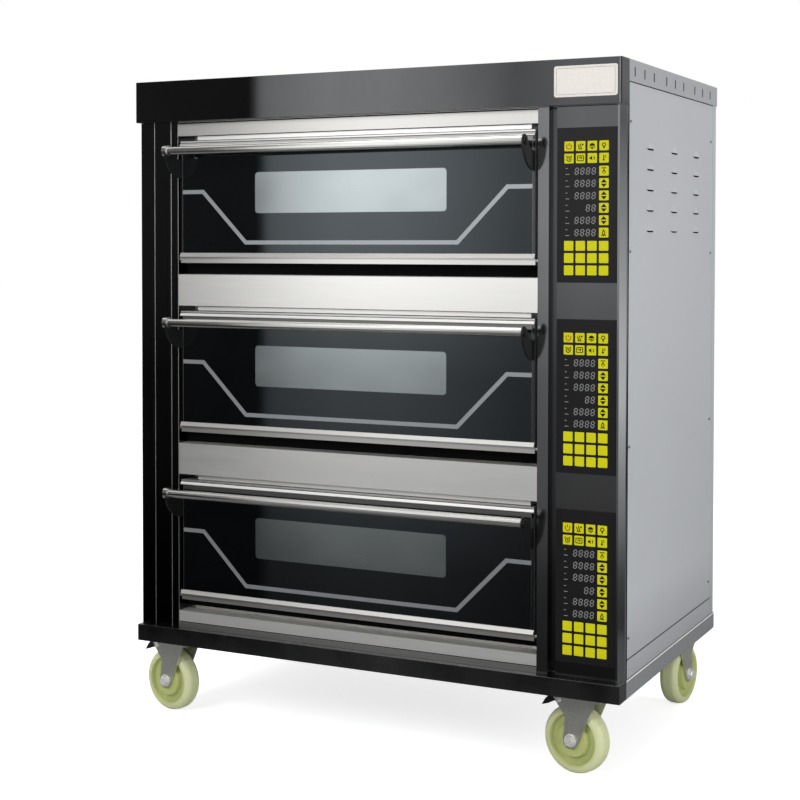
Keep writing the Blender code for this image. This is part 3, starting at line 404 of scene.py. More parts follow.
def printed(name, colour, roughness, grain=900.0, shine=0.5, metallic=0.0):
    """Screen-printed ink: even, with the faint tooth of the mesh it was printed through."""
    material = new_material(name, colour, roughness, metallic, specular_ior_level=shine)
    tooth = texture(material, NOISE, grain, detail=1.0)
    vary_colour(material, tooth, shaded(colour, 0.90), shaded(colour, 1.06))
    vary_roughness(material, tooth, roughness * 0.85, roughness * 1.15)
    add_bump(material, tooth, 0.00002)
    return material


def moulded(name, colour, roughness, grain, shine):
    """Moulded plastic with a spark-eroded grain."""
    material = new_material(name, colour, roughness, specular_ior_level=shine)
    spark = texture(material, NOISE, grain, detail=3.0)
    cloud = texture(material, NOISE, 14.0, detail=3.0)
    vary_colour(material, cloud, shaded(colour, 0.88), shaded(colour, 1.1))
    vary_roughness(material, spark, roughness * 0.85, roughness * 1.2)
    add_bump(material, spark, 0.00006)
    return material


def cast_nylon(name, centre):
    """Pale nylon that lets a little light in, painted darker and greener in the dish than on the rim, as
    shade in the recess.
    """
    material = new_material(name, NYLON_RIM, 0.38, subsurface_weight=0.25, subsurface_scale=1.0,
                            subsurface_radius=(0.012, 0.012, 0.006))
    tree = material.node_tree
    coordinates = tree.nodes.new("ShaderNodeTexCoord")
    reach = tree.nodes.new("ShaderNodeVectorMath")
    reach.operation = "DISTANCE"
    reach.inputs[1].default_value = centre
    tree.links.new(coordinates.outputs["Object"], reach.inputs[0])
    # The dish is painted darker and greener as shade
    vary_colour(material, reach.outputs["Value"], NYLON_DISH_SHADE, NYLON_RIM, WHEEL_DISH_SHADE_SPAN)
    scuffs = texture(material, NOISE, 160.0, detail=3.0)
    vary_roughness(material, scuffs, 0.32, 0.46)
    add_bump(material, scuffs, 0.00006)
    return material


def zinc_plate(name, colour, roughness, metallic=1.0):
    """Zinc-plated pressed steel with a faint spangle."""
    material = new_material(name, colour, roughness, metallic)
    spangle = texture(material, CELLS, 190.0)
    vary_colour(material, spangle, shaded(colour, 0.92), shaded(colour, 1.06), (0.0, 0.8))
    fine = texture(material, NOISE, 260.0, detail=3.0)
    vary_roughness(material, fine, roughness * 0.8, roughness * 1.25)
    add_bump(material, fine, 0.00006)
    return material


def baked_steel(name, low, high, roughness):
    """Heat-stained steel inside the chambers."""
    material = new_material(name, high, roughness, 1.0)
    stain = texture(material, NOISE, 11.0, detail=6.0, roughness=0.6)
    vary_colour(material, stain, low, high)
    vary_roughness(material, stain, roughness * 0.85, roughness * 1.3)
    mill = texture(material, NOISE, 1.0, MILL_GRAIN, detail=2.0)
    add_bump(material, mill, 0.00005)
    return material


# Each finish's maker and its values
FINISH_VALUES = {
    "mirror_black": (mirror_black, 0.115, 0.035),
    "panel_black": (mirror_black, 0.150, 0.035),
    "base_black": (mirror_black, 0.105, 0.240),
    "smoked_steel": (mirror_black, 0.280, 0.100),
    # Copies of one brushed steel that stand in for light and shade: the apron's is painted lighter, and the
    # lintel's, the rails', the shaded and the dark copies are painted darker
    "fascia_steel": (brushed_steel, (0.76, 0.755, 0.735), 0.50),
    "apron_steel": (brushed_steel, (0.86, 0.855, 0.83), 0.56),
    "lintel_steel": (brushed_steel, (0.51, 0.505, 0.49), 0.42),
    "rail_steel": (brushed_steel, (0.62, 0.615, 0.60), 0.42),
    "shaded_steel": (brushed_steel, (0.40, 0.40, 0.39), 0.40),
    "dark_steel": (brushed_steel, (0.21, 0.21, 0.205), 0.40),
    "polished_steel": (brushed_steel, (0.57, 0.565, 0.545), 0.22, TUBE_GRAIN),
    # The side and back panels' grey paint is painted darker at its foot, as shade
    "grey_paint": (satin_paint, 0.455, 0.70),
    "cover_paint": (satin_paint, 0.345),
    "chassis_paint": (satin_paint, 0.20),
    "black_glass": (black_glass,),
    "coated_pane": (coated_pane,),
    "silver_print": (printed, (0.30, 0.315, 0.33), 0.45, 900.0, 0.5, 0.65),
    "membrane": (printed, (0.010, 0.010, 0.011), 0.32, 1400.0, 0.15),
    "key_yellow": (printed, (0.52, 0.50, 0.002), 0.42, 900.0, 0.12),
    "key_ink": (printed, (0.008, 0.007, 0.003), 0.42, 900.0, 0.15),
    "power_orange": (printed, (0.30, 0.052, 0.004), 0.40, 900.0, 0.15),
    "digit_grey": (printed, (0.22, 0.225, 0.22), 0.40, 900.0, 0.25),
    "black_plastic": (moulded, (0.006, 0.006, 0.0063), 0.30, 700.0, 0.35),
    # One black for real seams and for dark strips painted as shade and shadow
    "gasket": (moulded, (0.003, 0.003, 0.003), 0.80, 900.0, 0.05),
    "liner_steel": (baked_steel, (0.34, 0.33, 0.31), (0.48, 0.47, 0.45), 0.42),
    "heater_steel": (baked_steel, (0.09, 0.085, 0.08), (0.20, 0.18, 0.16), 0.50),
    "zinc": (zinc_plate, (0.80, 0.81, 0.75), 0.40),
    # A half-metal copy of the zinc, painted lighter to stand in for the highlights of nuts, bolts and pins
    "bright_zinc": (zinc_plate, (0.78, 0.78, 0.76), 0.24, 0.5),
    "dull_zinc": (zinc_plate, (0.30, 0.30, 0.30), 0.35),
    "plate_silver": (printed, (0.66, 0.62, 0.58), 0.35, 700.0),
    # A pale paint that stands in for the highlight on the chassis's top edge
    "bare_edge": (printed, (0.80, 0.81, 0.81), 0.40),
    "plate_line": (printed, (0.20, 0.19, 0.18), 0.40),
}
FINISHES = {name: maker(name, *values) for name, (maker, *values) in FINISH_VALUES.items()}

NODE_FINISHES = {
    "hood_front": "mirror_black",
    "base_front_trim": "base_black",
    "left_column": "mirror_black",
    "control_panel": "panel_black",
    "right_column": "smoked_steel",
    "keypad": "membrane",
    "top_cover": "cover_paint",
    "left_side_panel": "grey_paint",
    "right_side_panel": "grey_paint",
    "back_panel": "grey_paint",
    "base_chassis": "chassis_paint",
    "power_inlet_gland": "black_plastic",
    # The lintel and door frames take copies of the steel painted darker as shade, and the apron one painted
    # lighter
    "top_lintel": "lintel_steel",
    "mid_panel": "fascia_steel",
    "bottom_apron": "apron_steel",
    "deck_liner": "liner_steel",
    "hearth_plate": "liner_steel",
    "upper_heater": "heater_steel",
    "lower_heater": "heater_steel",
    "door_frame": "rail_steel",
    "door_glass": "black_glass",
    "handle_bar": "polished_steel",
    "handle_bracket": "black_plastic",
    "caster_plate": "zinc",
    "caster_fork": "zinc",
    "brake_pedal": "black_plastic",
}

# Edge radius of the folded sheets and moulded pieces
NODE_EDGES = {
    "hood_front": 0.0012,
    "base_front_trim": 0.0012,
    "control_panel": 0.0004,
    "top_cover": 0.0010,
    "handle_bracket": 0.0016,
    "door_glass": 0.0006,
    "keypad": 0.0003,
    "caster_plate": 0.0010,
    "hearth_plate": 0.0008,
    "base_chassis": 0.0010,
    "back_panel": 0.0005,
}


def match_prefix(table, name):
    """The table's value for the first prefix that a name starts with, if there is one."""
    return next((value for prefix, value in table.items() if name.startswith(prefix)), None)


def round_edges(obj, radius):
    """Joins a node's split corners and rounds its sharp edges."""
    weld = obj.modifiers.new("Weld", "WELD")
    weld.merge_threshold = WELD_REACH
    bevel = obj.modifiers.new("Bevel", "BEVEL")
    bevel.width = radius
    bevel.segments = EDGE_SEGMENTS
    bevel.limit_method = "ANGLE"
    bevel.angle_limit = math.radians(EDGE_ANGLE)
    bevel.use_clamp_overlap = True
    bevel.harden_normals = True


def dress_nodes():
    """Gives every node its finish, and the listed ones their rounded edges."""
    for name, obj in frame["nodes"].items():
        obj.data.materials.clear()
        if name.startswith("caster_wheel"):
            middle = sum(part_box(name), Vector()) / 2
            finish = cast_nylon("nylon_" + name, obj.matrix_world.inverted() @ middle)
        else:
            finish = FINISHES[match_prefix(NODE_FINISHES, name)]
        obj.data.materials.append(finish)
        radius = match_prefix(NODE_EDGES, name)
        if radius:
            round_edges(obj, radius)


# Mesh helpers

def loft(bm, rings):
    """Skins a stack of closed rings with equally many points, and caps both ends."""
    loops = [[bm.verts.new(place) for place in ring] for ring in rings]
    for lower, upper in zip(loops, loops[1:]):
        for index in range(len(lower)):
            following = (index + 1) % len(lower)
            bm.faces.new((lower[index], lower[following], upper[following], upper[index]))
    bm.faces.new(loops[0][::-1])
    bm.faces.new(loops[-1])


def ribbon(bm, points, width, front, back, closed=False):
    """A raised line of even width along points in X and Z, with mitred corners."""
    count = len(points)
    places = [Vector(point) for point in points]
    rails = []
    for index, place in enumerate(places):
        before = places[index - 1] if closed or index > 0 else None
        after = places[(index + 1) % count] if closed or index < count - 1 else None
        ways = [(second - first).normalized() for first, second in ((before, place), (place, after))
                if first is not None and second is not None]
        normals = [Vector((-way.y, way.x)) for way in ways]
        total = sum(normals, Vector((0.0, 0.0)))
        mitre = total * (width / 2 * len(normals) / total.length_squared)
        left = place + mitre
        right = place - mitre
        rails.append([bm.verts.new((spot.x, y, spot.y)) for spot, y in
                      ((left, front), (right, front), (right, back), (left, back))])
    spans = count if closed else count - 1
    for index in range(spans):
        first = rails[index]
        second = rails[(index + 1) % count]
        for side in range(4):
            other = (side + 1) % 4
            bm.faces.new((first[side], first[other], second[other], second[side]))
    if not closed:
        bm.faces.new(rails[0][::-1])
        bm.faces.new(rails[-1])


def arc(centre, radius, start, end, steps=12):
    """Points along a circle's arc in X and Z, with angles in degrees."""
    points = []
    for step in range(steps):
        angle = math.radians(start + (end - start) * step / (steps - 1))
        points.append((centre[0] + radius * math.cos(angle), centre[1] + radius * math.sin(angle)))
    return points


def rounded_rectangle(centre, size, radius):
    """A rectangle's outline in X and Z with round corners."""
    points = []
    for start, across, up in ((0.0, 1, 1), (90.0, -1, 1), (180.0, -1, -1), (270.0, 1, -1)):
        middle = (centre[0] + across * (size[0] / 2 - radius), centre[1] + up * (size[1] / 2 - radius))
        points += arc(middle, radius, start, start + 90.0, CORNER_STEPS)
    return points


def slab(bm, outline, front, back):
    """A flat outline in X and Z, given a thickness along Y."""
    loft(bm, [[(x, y, z) for x, z in outline] for y in (back, front)])


def stepped(bm, centre, size, radius, levels):
    """A stack of rounded rectangles, each at a level of (inset, place along Y)."""
    rings = []
    for inset, y in levels:
        outline = rounded_rectangle(centre, [side - 2 * inset for side in size], radius - inset)
        rings.append([(x, y, z) for x, z in outline])
    loft(bm, rings)


def pad(bm, centre, size, radius, front, back, chamfer):
    """A raised rounded rectangle with a chamfered front edge."""
    stepped(bm, centre, size, radius, ((0.0, back), (0.0, front + chamfer), (chamfer, front)))


def ring(radii, height, place):
    """Points round the Z axis at the given radii and height, moved by a matrix."""
    points = []
    for step, radius in enumerate(radii):
        angle = 2 * math.pi * step / len(radii)
        points.append(place @ Vector((radius * math.cos(angle), radius * math.sin(angle), height)))
    return points


def turned(bm, profile, steps, place):
    """A profile of (radius, height) turned about Z, then moved by a matrix."""
    loft(bm, [ring([radius] * steps, height, place) for radius, height in profile])


def add_piece(name, bm, finish, body, sharp=SHARP_ANGLE):
    """Makes a piece of the object from a mesh and lets it ride on a body."""
    bmesh.ops.recalc_face_normals(bm, faces=bm.faces)
    mesh = bpy.data.meshes.new(name)
    bm.to_mesh(mesh)
    bm.free()
    mesh.shade_smooth()
    mesh.set_sharp_from_angle(angle=math.radians(sharp))
    mesh.materials.append(FINISHES[finish])
    piece = bpy.data.objects.new(name, mesh)
    bpy.context.scene.collection.objects.link(piece)
    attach(piece, body)


# Plate on the hood

def hood_plate():
    """A bare plate with a raised rim and a printed border line."""
    low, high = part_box("hood_front")
    face = low.y
    centre = (high.x - PLATE_RIGHT_INSET - PLATE_SIZE[0] / 2, high.z - PLATE_TOP_INSET - PLATE_SIZE[1] / 2)
    front = face - PLATE_THICKNESS
    chamfer = PLATE_THICKNESS / 3
    sunk = front + chamfer
    bm = bmesh.new()
    stepped(bm, centre, PLATE_SIZE, PLATE_CORNER,
            ((0.0, face), (0.0, sunk), (chamfer, front), (PLATE_RIM, front), (PLATE_RIM + chamfer, sunk)))
    add_piece("hood_plate", bm, "plate_silver", "root")
    bm = bmesh.new()
    inner = [side - 2 * PLATE_LINE_INSET for side in PLATE_SIZE]
    border = rounded_rectangle(centre, inner, PLATE_CORNER / 2)
    ribbon(bm, border, PLATE_LINE, sunk - PRINT_THICKNESS, sunk, closed=True)
    add_piece("hood_plate_line", bm, "plate_line", "root")


# Doors

def glass_graphics(deck):
    """The silver line and the coated window of one door."""
    body = "door_%d" % deck
    glass_low, glass_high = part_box("door_glass_%d" % deck)
    frame_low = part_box("door_frame_%d" % deck)[0]
    middle = (glass_low.x + glass_high.x) / 2
    face = glass_low.y
    front = face - PRINT_THICKNESS
    high = frame_low.z + LINE_HIGH
    low = frame_low.z + LINE_LOW
    bm = bmesh.new()
    ribbon(bm, [(glass_low.x, high), (middle - LINE_HIGH_END, high), (middle - LINE_LOW_END, low),
                (middle + LINE_LOW_END, low), (middle + LINE_HIGH_END, high), (glass_high.x, high)],
           LINE_WIDTH, front, face)
    add_piece("glass_line_%d" % deck, bm, "silver_print", body)
    bm = bmesh.new()
    centre = (middle, frame_low.z + WINDOW_BOTTOM + WINDOW_SIZE[1] / 2)
    slab(bm, rounded_rectangle(centre, WINDOW_SIZE, WINDOW_CORNER), front, face)
    add_piece("window_pane_%d" % deck, bm, "coated_pane", body)


def sill_shade_strip(deck):
    """A black strip painted as shade on the sill below a door, narrow below the lowest one."""
    lowest = deck == DECKS[-1]
    panel_low, panel_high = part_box("bottom_apron" if lowest else "mid_panel_%d" % deck)
    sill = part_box("deck_liner_%d" % deck)[0]
    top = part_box("door_frame_%d" % deck)[0].z
    foot = top - SILL_SHADE_NARROW if lowest else sill.z
    middle = ((panel_low.x + panel_high.x) / 2, (foot + top) / 2)
    size = (panel_high.x - panel_low.x, top - foot - SILL_SHADE_LAP)
    bm = bmesh.new()
    pad(bm, middle, size, SILL_SHADE_CORNER, sill.y - SILL_SHADE_THICKNESS, sill.y, SILL_SHADE_THICKNESS / 3)
    add_piece("sill_gasket_%d" % deck, bm, "gasket", "root")


# Trim strips

def strip(name, left, right, low, high, face, finish, body, thickness=TRIM_THICKNESS):
    """One long flat strip with a fine chamfer on a face, between two X and two Z places."""
    bm = bmesh.new()
    centre = ((left + right) / 2, (low + high) / 2)
    chamfer = min(thickness / 3, STRIP_CHAMFER)
    pad(bm, centre, (right - left, high - low), STRIP_CORNER, face - thickness, face, chamfer)
    add_piece(name, bm, finish, body)


def door_sides(deck):
    """The X places of the outer faces of one door's handle brackets."""
    return (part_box("handle_bracket_left_%d" % deck)[0].x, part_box("handle_bracket_right_%d" % deck)[1].x)


def door_trim(deck):
    """One door's dark stiles, a dark line painted as the shadow below its top rail's edge, and its glass's
    cap in a copy of the steel painted dark as shade.
    """
    body = "door_%d" % deck
    left, right = door_sides(deck)
    low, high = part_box("door_frame_%d" % deck)
    glass_low, glass_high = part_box("door_glass_%d" % deck)
    for side, start in (("left", left), ("right", right - STILE_WIDTH)):
        strip("door_stile_%s_%d" % (side, deck), start, start + STILE_WIDTH, glass_low.z, high.z - TOP_RAIL,
              low.y, "mirror_black", body)
    # A dark line painted as the shadow below the top rail's edge
    strip("rail_shadow_%d" % deck, left, right, high.z - RAIL_SHADOW_DROP - RAIL_SHADOW_WIDTH, high.z - RAIL_SHADOW_DROP,
          low.y, "gasket", body)
    # The glass's cap in a copy of the steel painted dark as shade
    strip("glass_cap_%d" % deck, glass_low.x, glass_high.x, glass_high.z - GLASS_CAP, glass_high.z,
          glass_low.y, "dark_steel", body, 2 * TRIM_THICKNESS)


def rail_bevels(deck):
    """The sloped bands of a door's two rails, which catch the light from above; the lower band is in a copy
    of the steel painted darker as shade.
    """
    left, right = door_sides(deck)
    low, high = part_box("door_frame_%d" % deck)
    glass_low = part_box("door_glass_%d" % deck)[0].z
    below = high.z - RAIL_SHADOW_DROP - RAIL_SHADOW_WIDTH
    for name, top, height, reach, finish in (
            ("top_bevel", below, TOP_BEVEL_HEIGHT, TOP_BEVEL_REACH, "fascia_steel"),
            ("foot_bevel", glass_low - 2 * TRIM_THICKNESS, BEVEL_HEIGHT, BEVEL_REACH, "lintel_steel")):
        foot = top - height
        section = [(low.y, top), (low.y - reach, foot + BEVEL_LIP), (low.y - reach, foot), (low.y, foot)]
        bm = bmesh.new()
        loft(bm, [[(x, y, z) for y, z in section] for x in (left, right)])
        add_piece("%s_%d" % (name, deck), bm, finish, "door_%d" % deck, BEVEL_SHARP)


def recess_strip(deck):
    """The steel filler across a chamber's mouth, seen above its door."""
    above = "top_lintel" if deck == DECKS[0] else "mid_panel_%d" % (deck - 1)
    low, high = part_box(above)
    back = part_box("deck_liner_%d" % deck)[0].y
    door_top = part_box("door_frame_%d" % deck)[1].z
    strip("recess_strip_%d" % deck, low.x + RECESS_LEFT, high.x - RECESS_RIGHT, door_top + RECESS_GAP_BELOW,
          low.z - RECESS_GAP_ABOVE, back, "fascia_steel", "root", back - low.y - RECESS_SETBACK)


def front_trim():
    """The strip below the hood, the apron's foot in a copy of the steel painted darker as shade, the
    apron's seam, a painted highlight and a dark line along the hood's right bend, and painted highlights
    along the left column's folds.
    """
    low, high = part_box("top_lintel")
    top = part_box("hood_front")[0].z - TRIM_THICKNESS
    strip("hood_strip", low.x, high.x, top - HOOD_STRIP, top, low.y + HOOD_STRIP_DEPTH,
          "fascia_steel", "root", HOOD_STRIP_DEPTH)
    low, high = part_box("bottom_apron")
    seam = low.z + SEAM_RISE
    # The apron's foot in a copy of the steel painted darker as shade
    strip("apron_foot", low.x, high.x, low.z, seam - SEAM_WIDTH / 2,
          low.y, "lintel_steel", "root")
    strip("apron_seam", low.x, high.x, seam - SEAM_WIDTH / 2, seam + SEAM_WIDTH / 2,
          low.y, "gasket", "root", 2 * TRIM_THICKNESS)
    low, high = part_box("hood_front")
    # A highlight painted along the hood's right bend, and a dark line beside it
    for name, inset, finish in (("hood_bend_highlight", HOOD_HIGHLIGHT_INSET, "shaded_steel"),
                                ("hood_bend_dark_line", HOOD_DARK_LINE_INSET, "gasket")):
        middle = high.x - inset
        strip(name, middle - FOLD_WIDTH / 2, middle + FOLD_WIDTH / 2, low.z + FOLD_WIDTH,
              high.z - FOLD_WIDTH, low.y, finish, "root")
    low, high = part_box("left_column")
    # Highlights painted along the left column's folds
    for index, place in enumerate(FOLD_PLACES):
        middle = low.x + place
        strip("column_fold_highlight_%d" % (index + 1), middle - FOLD_WIDTH / 2, middle + FOLD_WIDTH / 2, low.z, high.z,
              low.y, "fascia_steel", "root")


# Sides

def turn_aside(bm, face, sign=1):
    """Turns a mesh drawn for the front onto a face on the right, or on the left if the sign is -1."""
    turn = Matrix.Translation((face, 0, 0)) @ Matrix.Rotation(sign * math.pi / 2, 4, "Z")
    bmesh.ops.transform(bm, matrix=turn, verts=bm.verts)


def side_lines():
    """Dark seams and shadows painted under the louvre lips of the right side panel, and a highlight painted
    along the top edge of the chassis.
    """
    low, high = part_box("right_side_panel")
    cover_low, cover_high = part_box("top_cover")
    chassis_low, chassis_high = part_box("base_chassis")
    front = low.y + SIDE_GAP_WIDTH / 2
    rear = high.y - SIDE_SEAM_BACK
    below = cover_low.z - SIDE_SEAM_WIDTH / 2
    seam = chassis_high.z + SIDE_SEAM_RISE
    bm = bmesh.new()
    for z in (below, seam):
        ribbon(bm, ((low.y, z), (rear, z)), SIDE_SEAM_WIDTH, -PRINT_THICKNESS, 0.0)
    ribbon(bm, ((front, low.z), (front, below - SIDE_SEAM_WIDTH)), SIDE_GAP_WIDTH, -PRINT_THICKNESS, 0.0)
    # Shadows painted under the louvre lips
    for column in (-1, 0, 1):
        for row in range(LOUVRE_ROWS):
            y = CABINET_CENTRE_Y + column * LOUVRE_COLUMN_PITCH
            z = LOUVRE_TOP - row * LOUVRE_ROW_PITCH - LOUVRE_HEIGHT / 2
            slab(bm, [(y + across, z + up) for across, up in LOUVRE_SHADOW_OUTLINE], -PRINT_THICKNESS, 0.0)
    turn_aside(bm, cover_high.x - SIDE_FACE_INSET)
    add_piece("side_lines", bm, "gasket", "root")
    # A highlight painted along the chassis's top edge
    bm = bmesh.new()
    edge = chassis_high.z - CHASSIS_HIGHLIGHT_WIDTH / 2
    ribbon(bm, ((chassis_low.y, edge), (chassis_high.y, edge)), CHASSIS_HIGHLIGHT_WIDTH, -PRINT_THICKNESS, 0.0)
    turn_aside(bm, chassis_high.x)
    add_piece("chassis_edge_highlight", bm, "bare_edge", "root")


def vent_shade_sheets(side, sign):
    """Dark sheets painted as shade behind the vent slots of one skirt of the cover."""
    low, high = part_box("top_cover")
    level = high.z - VENT_DROP
    bm = bmesh.new()
    for group in (-1, 0, 1):
        for place in (-1, 0, 1):
            along = CABINET_CENTRE_Y + group * VENT_GROUP_PITCH + place * VENT_PITCH
            outline = rounded_rectangle((sign * along, level), VENT_SIZE, VENT_CORNER)
            slab(bm, outline, VENT_SINK, VENT_SINK + VENT_SHEET)
    turn_aside(bm, high.x if sign > 0 else low.x, sign)
    add_piece("vent_screens_%s" % side, bm, "gasket", "root")


# Keypads

def wave(x, low, high, swing, steps=8):
    """A short wavy stroke that rises from low to high."""
    return [(x + swing * math.sin(2 * math.pi * step / steps), low + (high - low) * step / steps)
            for step in range(steps + 1)]


POWER_ICON = [("line", arc((0, -0.05), 0.52, 130.0, 410.0, 16)), ("line", [(0, 0.05), (0, 0.62)])]
ICONS = [
    [("line", wave(-0.4, -0.5, 0.3, 0.12)), ("line", wave(0.0, -0.5, 0.5, 0.12)),
     ("fill", arc((0.42, 0.3), 0.2, 0.0, 330.0)), ("line", [(-0.5, -0.6), (0.4, -0.6)])],
    [("fill", arc((0, -0.05), 0.58, 0.0, 180.0)), ("line", [(-0.58, -0.3), (0.58, -0.3)]),
     ("line", [(-0.25, -0.55), (0.25, -0.55)])],
    [("ring", arc((0, 0.15), 0.36, 0.0, 330.0)), ("line", [(-0.16, -0.38), (0.16, -0.38)]),
     ("line", [(-0.12, -0.58), (0.12, -0.58)])],
    [("ring", arc((0, -0.1), 0.46, 0.0, 330.0)), ("line", [(0, 0.18), (0, -0.1), (0.2, -0.2)]),
     ("line", [(-0.62, 0.36), (-0.36, 0.6)]), ("line", [(0.36, 0.6), (0.62, 0.36)])],
    [("ring", rounded_rectangle((0, 0), (1.3, 1.0), 0.15)), ("line", arc((0, -0.2), 0.38, 150.0, 30.0)),
     ("line", [(0, -0.2), (0.2, 0.05)])],
    [("fill", [(-0.55, -0.2), (-0.3, -0.2), (0.0, -0.5), (0.0, 0.5), (-0.3, 0.2), (-0.55, 0.2)]),
     ("line", arc((0.05, 0), 0.42, -50.0, 50.0))],
    [("line", [(-0.05, 0.55), (-0.05, -0.2)]), ("fill", arc((-0.05, -0.36), 0.22, 0.0, 330.0)),
     ("line", [(0.2, 0.4), (0.45, 0.4)]), ("line", [(0.2, 0.1), (0.45, 0.1)])],
]
UPPER_HEAT_ICON = [("line", [(x / 4 - 0.5, 0.52 + 0.1 * (x % 2)) for x in range(5)]),
                   ("line", [(-0.36, -0.4), (0, 0.25), (0.36, -0.4)]),
                   ("line", [(-0.15, -0.5), (0.15, -0.5)])]
LOWER_HEAT_ICON = [("line", [(x / 4 - 0.5, -0.62 + 0.1 * (x % 2)) for x in range(5)]),
                   ("ring", [(0, 0.55), (0.3, -0.05), (0.18, -0.35), (-0.18, -0.35), (-0.3, -0.05)])]
ARROWS_ICON = [("fill", [(-0.64, 0.12), (0.64, 0.12), (0, 0.84)]),
               ("fill", [(-0.64, -0.12), (0, -0.84), (0.64, -0.12)])]

SEGMENTS = [(0, 1), (0, 0), (0, -1), (-1, 0.5), (1, 0.5), (-1, -0.5), (1, -0.5)]


def draw(bm, shapes, centre, front, back):
    """Lays an icon, drawn in a square of -1 to 1, on a key as strokes and fills of ink."""
    half = KEY_SIZE / 2
    for kind, points in shapes:
        places = [(centre[0] + x * half, centre[1] + z * half) for x, z in points]
        if kind == "fill":
            slab(bm, places, front, back)
        else:
            ribbon(bm, places, INK_WIDTH, front, back, closed=kind == "ring")


def digit(bm, centre, front, back):
    """All seven segments of one unlit display digit, upright at its sides."""
    half_x = DIGIT_SIZE[0] / 2 - DIGIT_STROKE / 2
    half_z = DIGIT_SIZE[1] / 2 - DIGIT_STROKE / 2
    for across, up in SEGMENTS:
        x = across * half_x
        z = up * half_z
        reach = (half_z / 2 if across else half_x) - SEGMENT_INSET
        ends = [(x, z - reach), (x, z + reach)] if across else [(x - reach, z), (x + reach, z)]
        places = [(centre[0] + px + DIGIT_SLANT * pz, centre[1] + pz) for px, pz in ends]
        ribbon(bm, places, DIGIT_STROKE, front, back)


def keypad(deck):
    """Keys, icons, display digits and marks printed on one deck's membrane."""
    low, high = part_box("keypad_%d" % deck)
    face = low.y
    key_front = face - KEY_RISE
    columns = [low.x + KEY_LEFT + column * KEY_PITCH for column in range(KEY_COLUMNS)]
    icon_rows, display_rows, plain_rows = [
        [high.z - drop - row * ROW_PITCH for row in range(count)]
        for drop, count in ((ICON_ROW, ICON_ROWS), (DISPLAY_ROW, DISPLAY_ROWS), (PLAIN_ROW, PLAIN_ROWS))]
    keys = [(x, z) for z in icon_rows + plain_rows for x in columns]
    keys += [(columns[-1], z) for z in display_rows]
    bm = bmesh.new()
    for centre in keys:
        pad(bm, centre, (KEY_SIZE, KEY_SIZE), KEY_CORNER, key_front, face, KEY_RISE / 2)
    add_piece("keys_%d" % deck, bm, "key_yellow", "root")

    ink_front = key_front - INK_RISE
    bm = bmesh.new()
    draw(bm, POWER_ICON, (columns[0], icon_rows[0]), ink_front, key_front)
    add_piece("power_icon_%d" % deck, bm, "power_orange", "root")
    bm = bmesh.new()
    places = [(x, z) for z in icon_rows for x in columns][1:]
    for shapes, centre in zip(ICONS, places):
        draw(bm, shapes, centre, ink_front, key_front)
    side_icons = [UPPER_HEAT_ICON] + [ARROWS_ICON] * (DISPLAY_ROWS - 2) + [LOWER_HEAT_ICON]
    for shapes, z in zip(side_icons, display_rows):
        draw(bm, shapes, (columns[-1], z), ink_front, key_front)
    add_piece("key_icons_%d" % deck, bm, "key_ink", "root")

    digit_front = face - INK_RISE
    bm = bmesh.new()
    for row, z in enumerate(display_rows):
        for place in range(SHORT_DISPLAY_START if row == SHORT_DISPLAY_ROW else 0, DIGIT_COUNT):
            digit(bm, (low.x + DIGIT_LEFT + place * DIGIT_PITCH, z), digit_front, face)
        for rise, length in MARK_LINES:
            left = low.x + MARK_LEFT
            ribbon(bm, [(left, z + rise), (left + length, z + rise)], MARK_WIDTH, digit_front, face)
    add_piece("display_digits_%d" % deck, bm, "digit_grey", "root")


# Fasteners

def screw(bm, place):
    """A pan-head screw with a cross recess, standing on the XY plane before it is moved."""
    quarter = ROUND_STEPS // 4
    lobes = [1.0 if step % quarter in (0, 1, quarter - 1) else RECESS_WAIST for step in range(ROUND_STEPS)]
    rings = []
    for profile, shares in ((SCREW_HEAD, [1.0] * ROUND_STEPS), (SCREW_RECESS, lobes)):
        for radius, height in profile:
            radii = [radius * share * SCREW_RADIUS for share in shares]
            rings.append(ring(radii, height * SCREW_RISE, place))
    loft(bm, rings)


def facing(spot, direction):
    """A matrix that takes the Z axis to a direction at a spot."""
    return Matrix.Translation(spot) @ Vector(direction).to_track_quat("Z", "Y").to_matrix().to_4x4()


def side_screws(side, sign):
    """The screws along the front and back edges of one side panel."""
    low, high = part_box("%s_side_panel" % side)
    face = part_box("top_cover")[1].x if sign > 0 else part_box("top_cover")[0].x
    face -= sign * SIDE_FACE_INSET
    bm = bmesh.new()
    for y, levels in ((low.y + SIDE_SCREW_FRONT, FRONT_SCREW_LEVELS),
                      (high.y - SIDE_SCREW_BACK, BACK_SCREW_LEVELS)):
        for z in levels:
            screw(bm, facing((face, y, z), (sign, 0, 0)))
    add_piece("side_screws_%s" % side, bm, "dull_zinc", "root")


def back_screws():
    """The screws round the edge of the back panel."""
    low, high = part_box("back_panel")
    left = low.x + BACK_SCREW_INSET
    right = high.x - BACK_SCREW_INSET
    ends = (low.z + BACK_SCREW_INSET, high.z - BACK_SCREW_TOP)
    places = [(x, z) for x in (left, (low.x + high.x) / 2, right) for z in ends]
    places += [(x, z) for x in (left, right) for z in BACK_SCREW_LEVELS[1:3]]
    bm = bmesh.new()
    for x, z in places:
        screw(bm, facing((x, high.y, z), (0, 1, 0)))
    add_piece("back_screws", bm, "bright_zinc", "root")


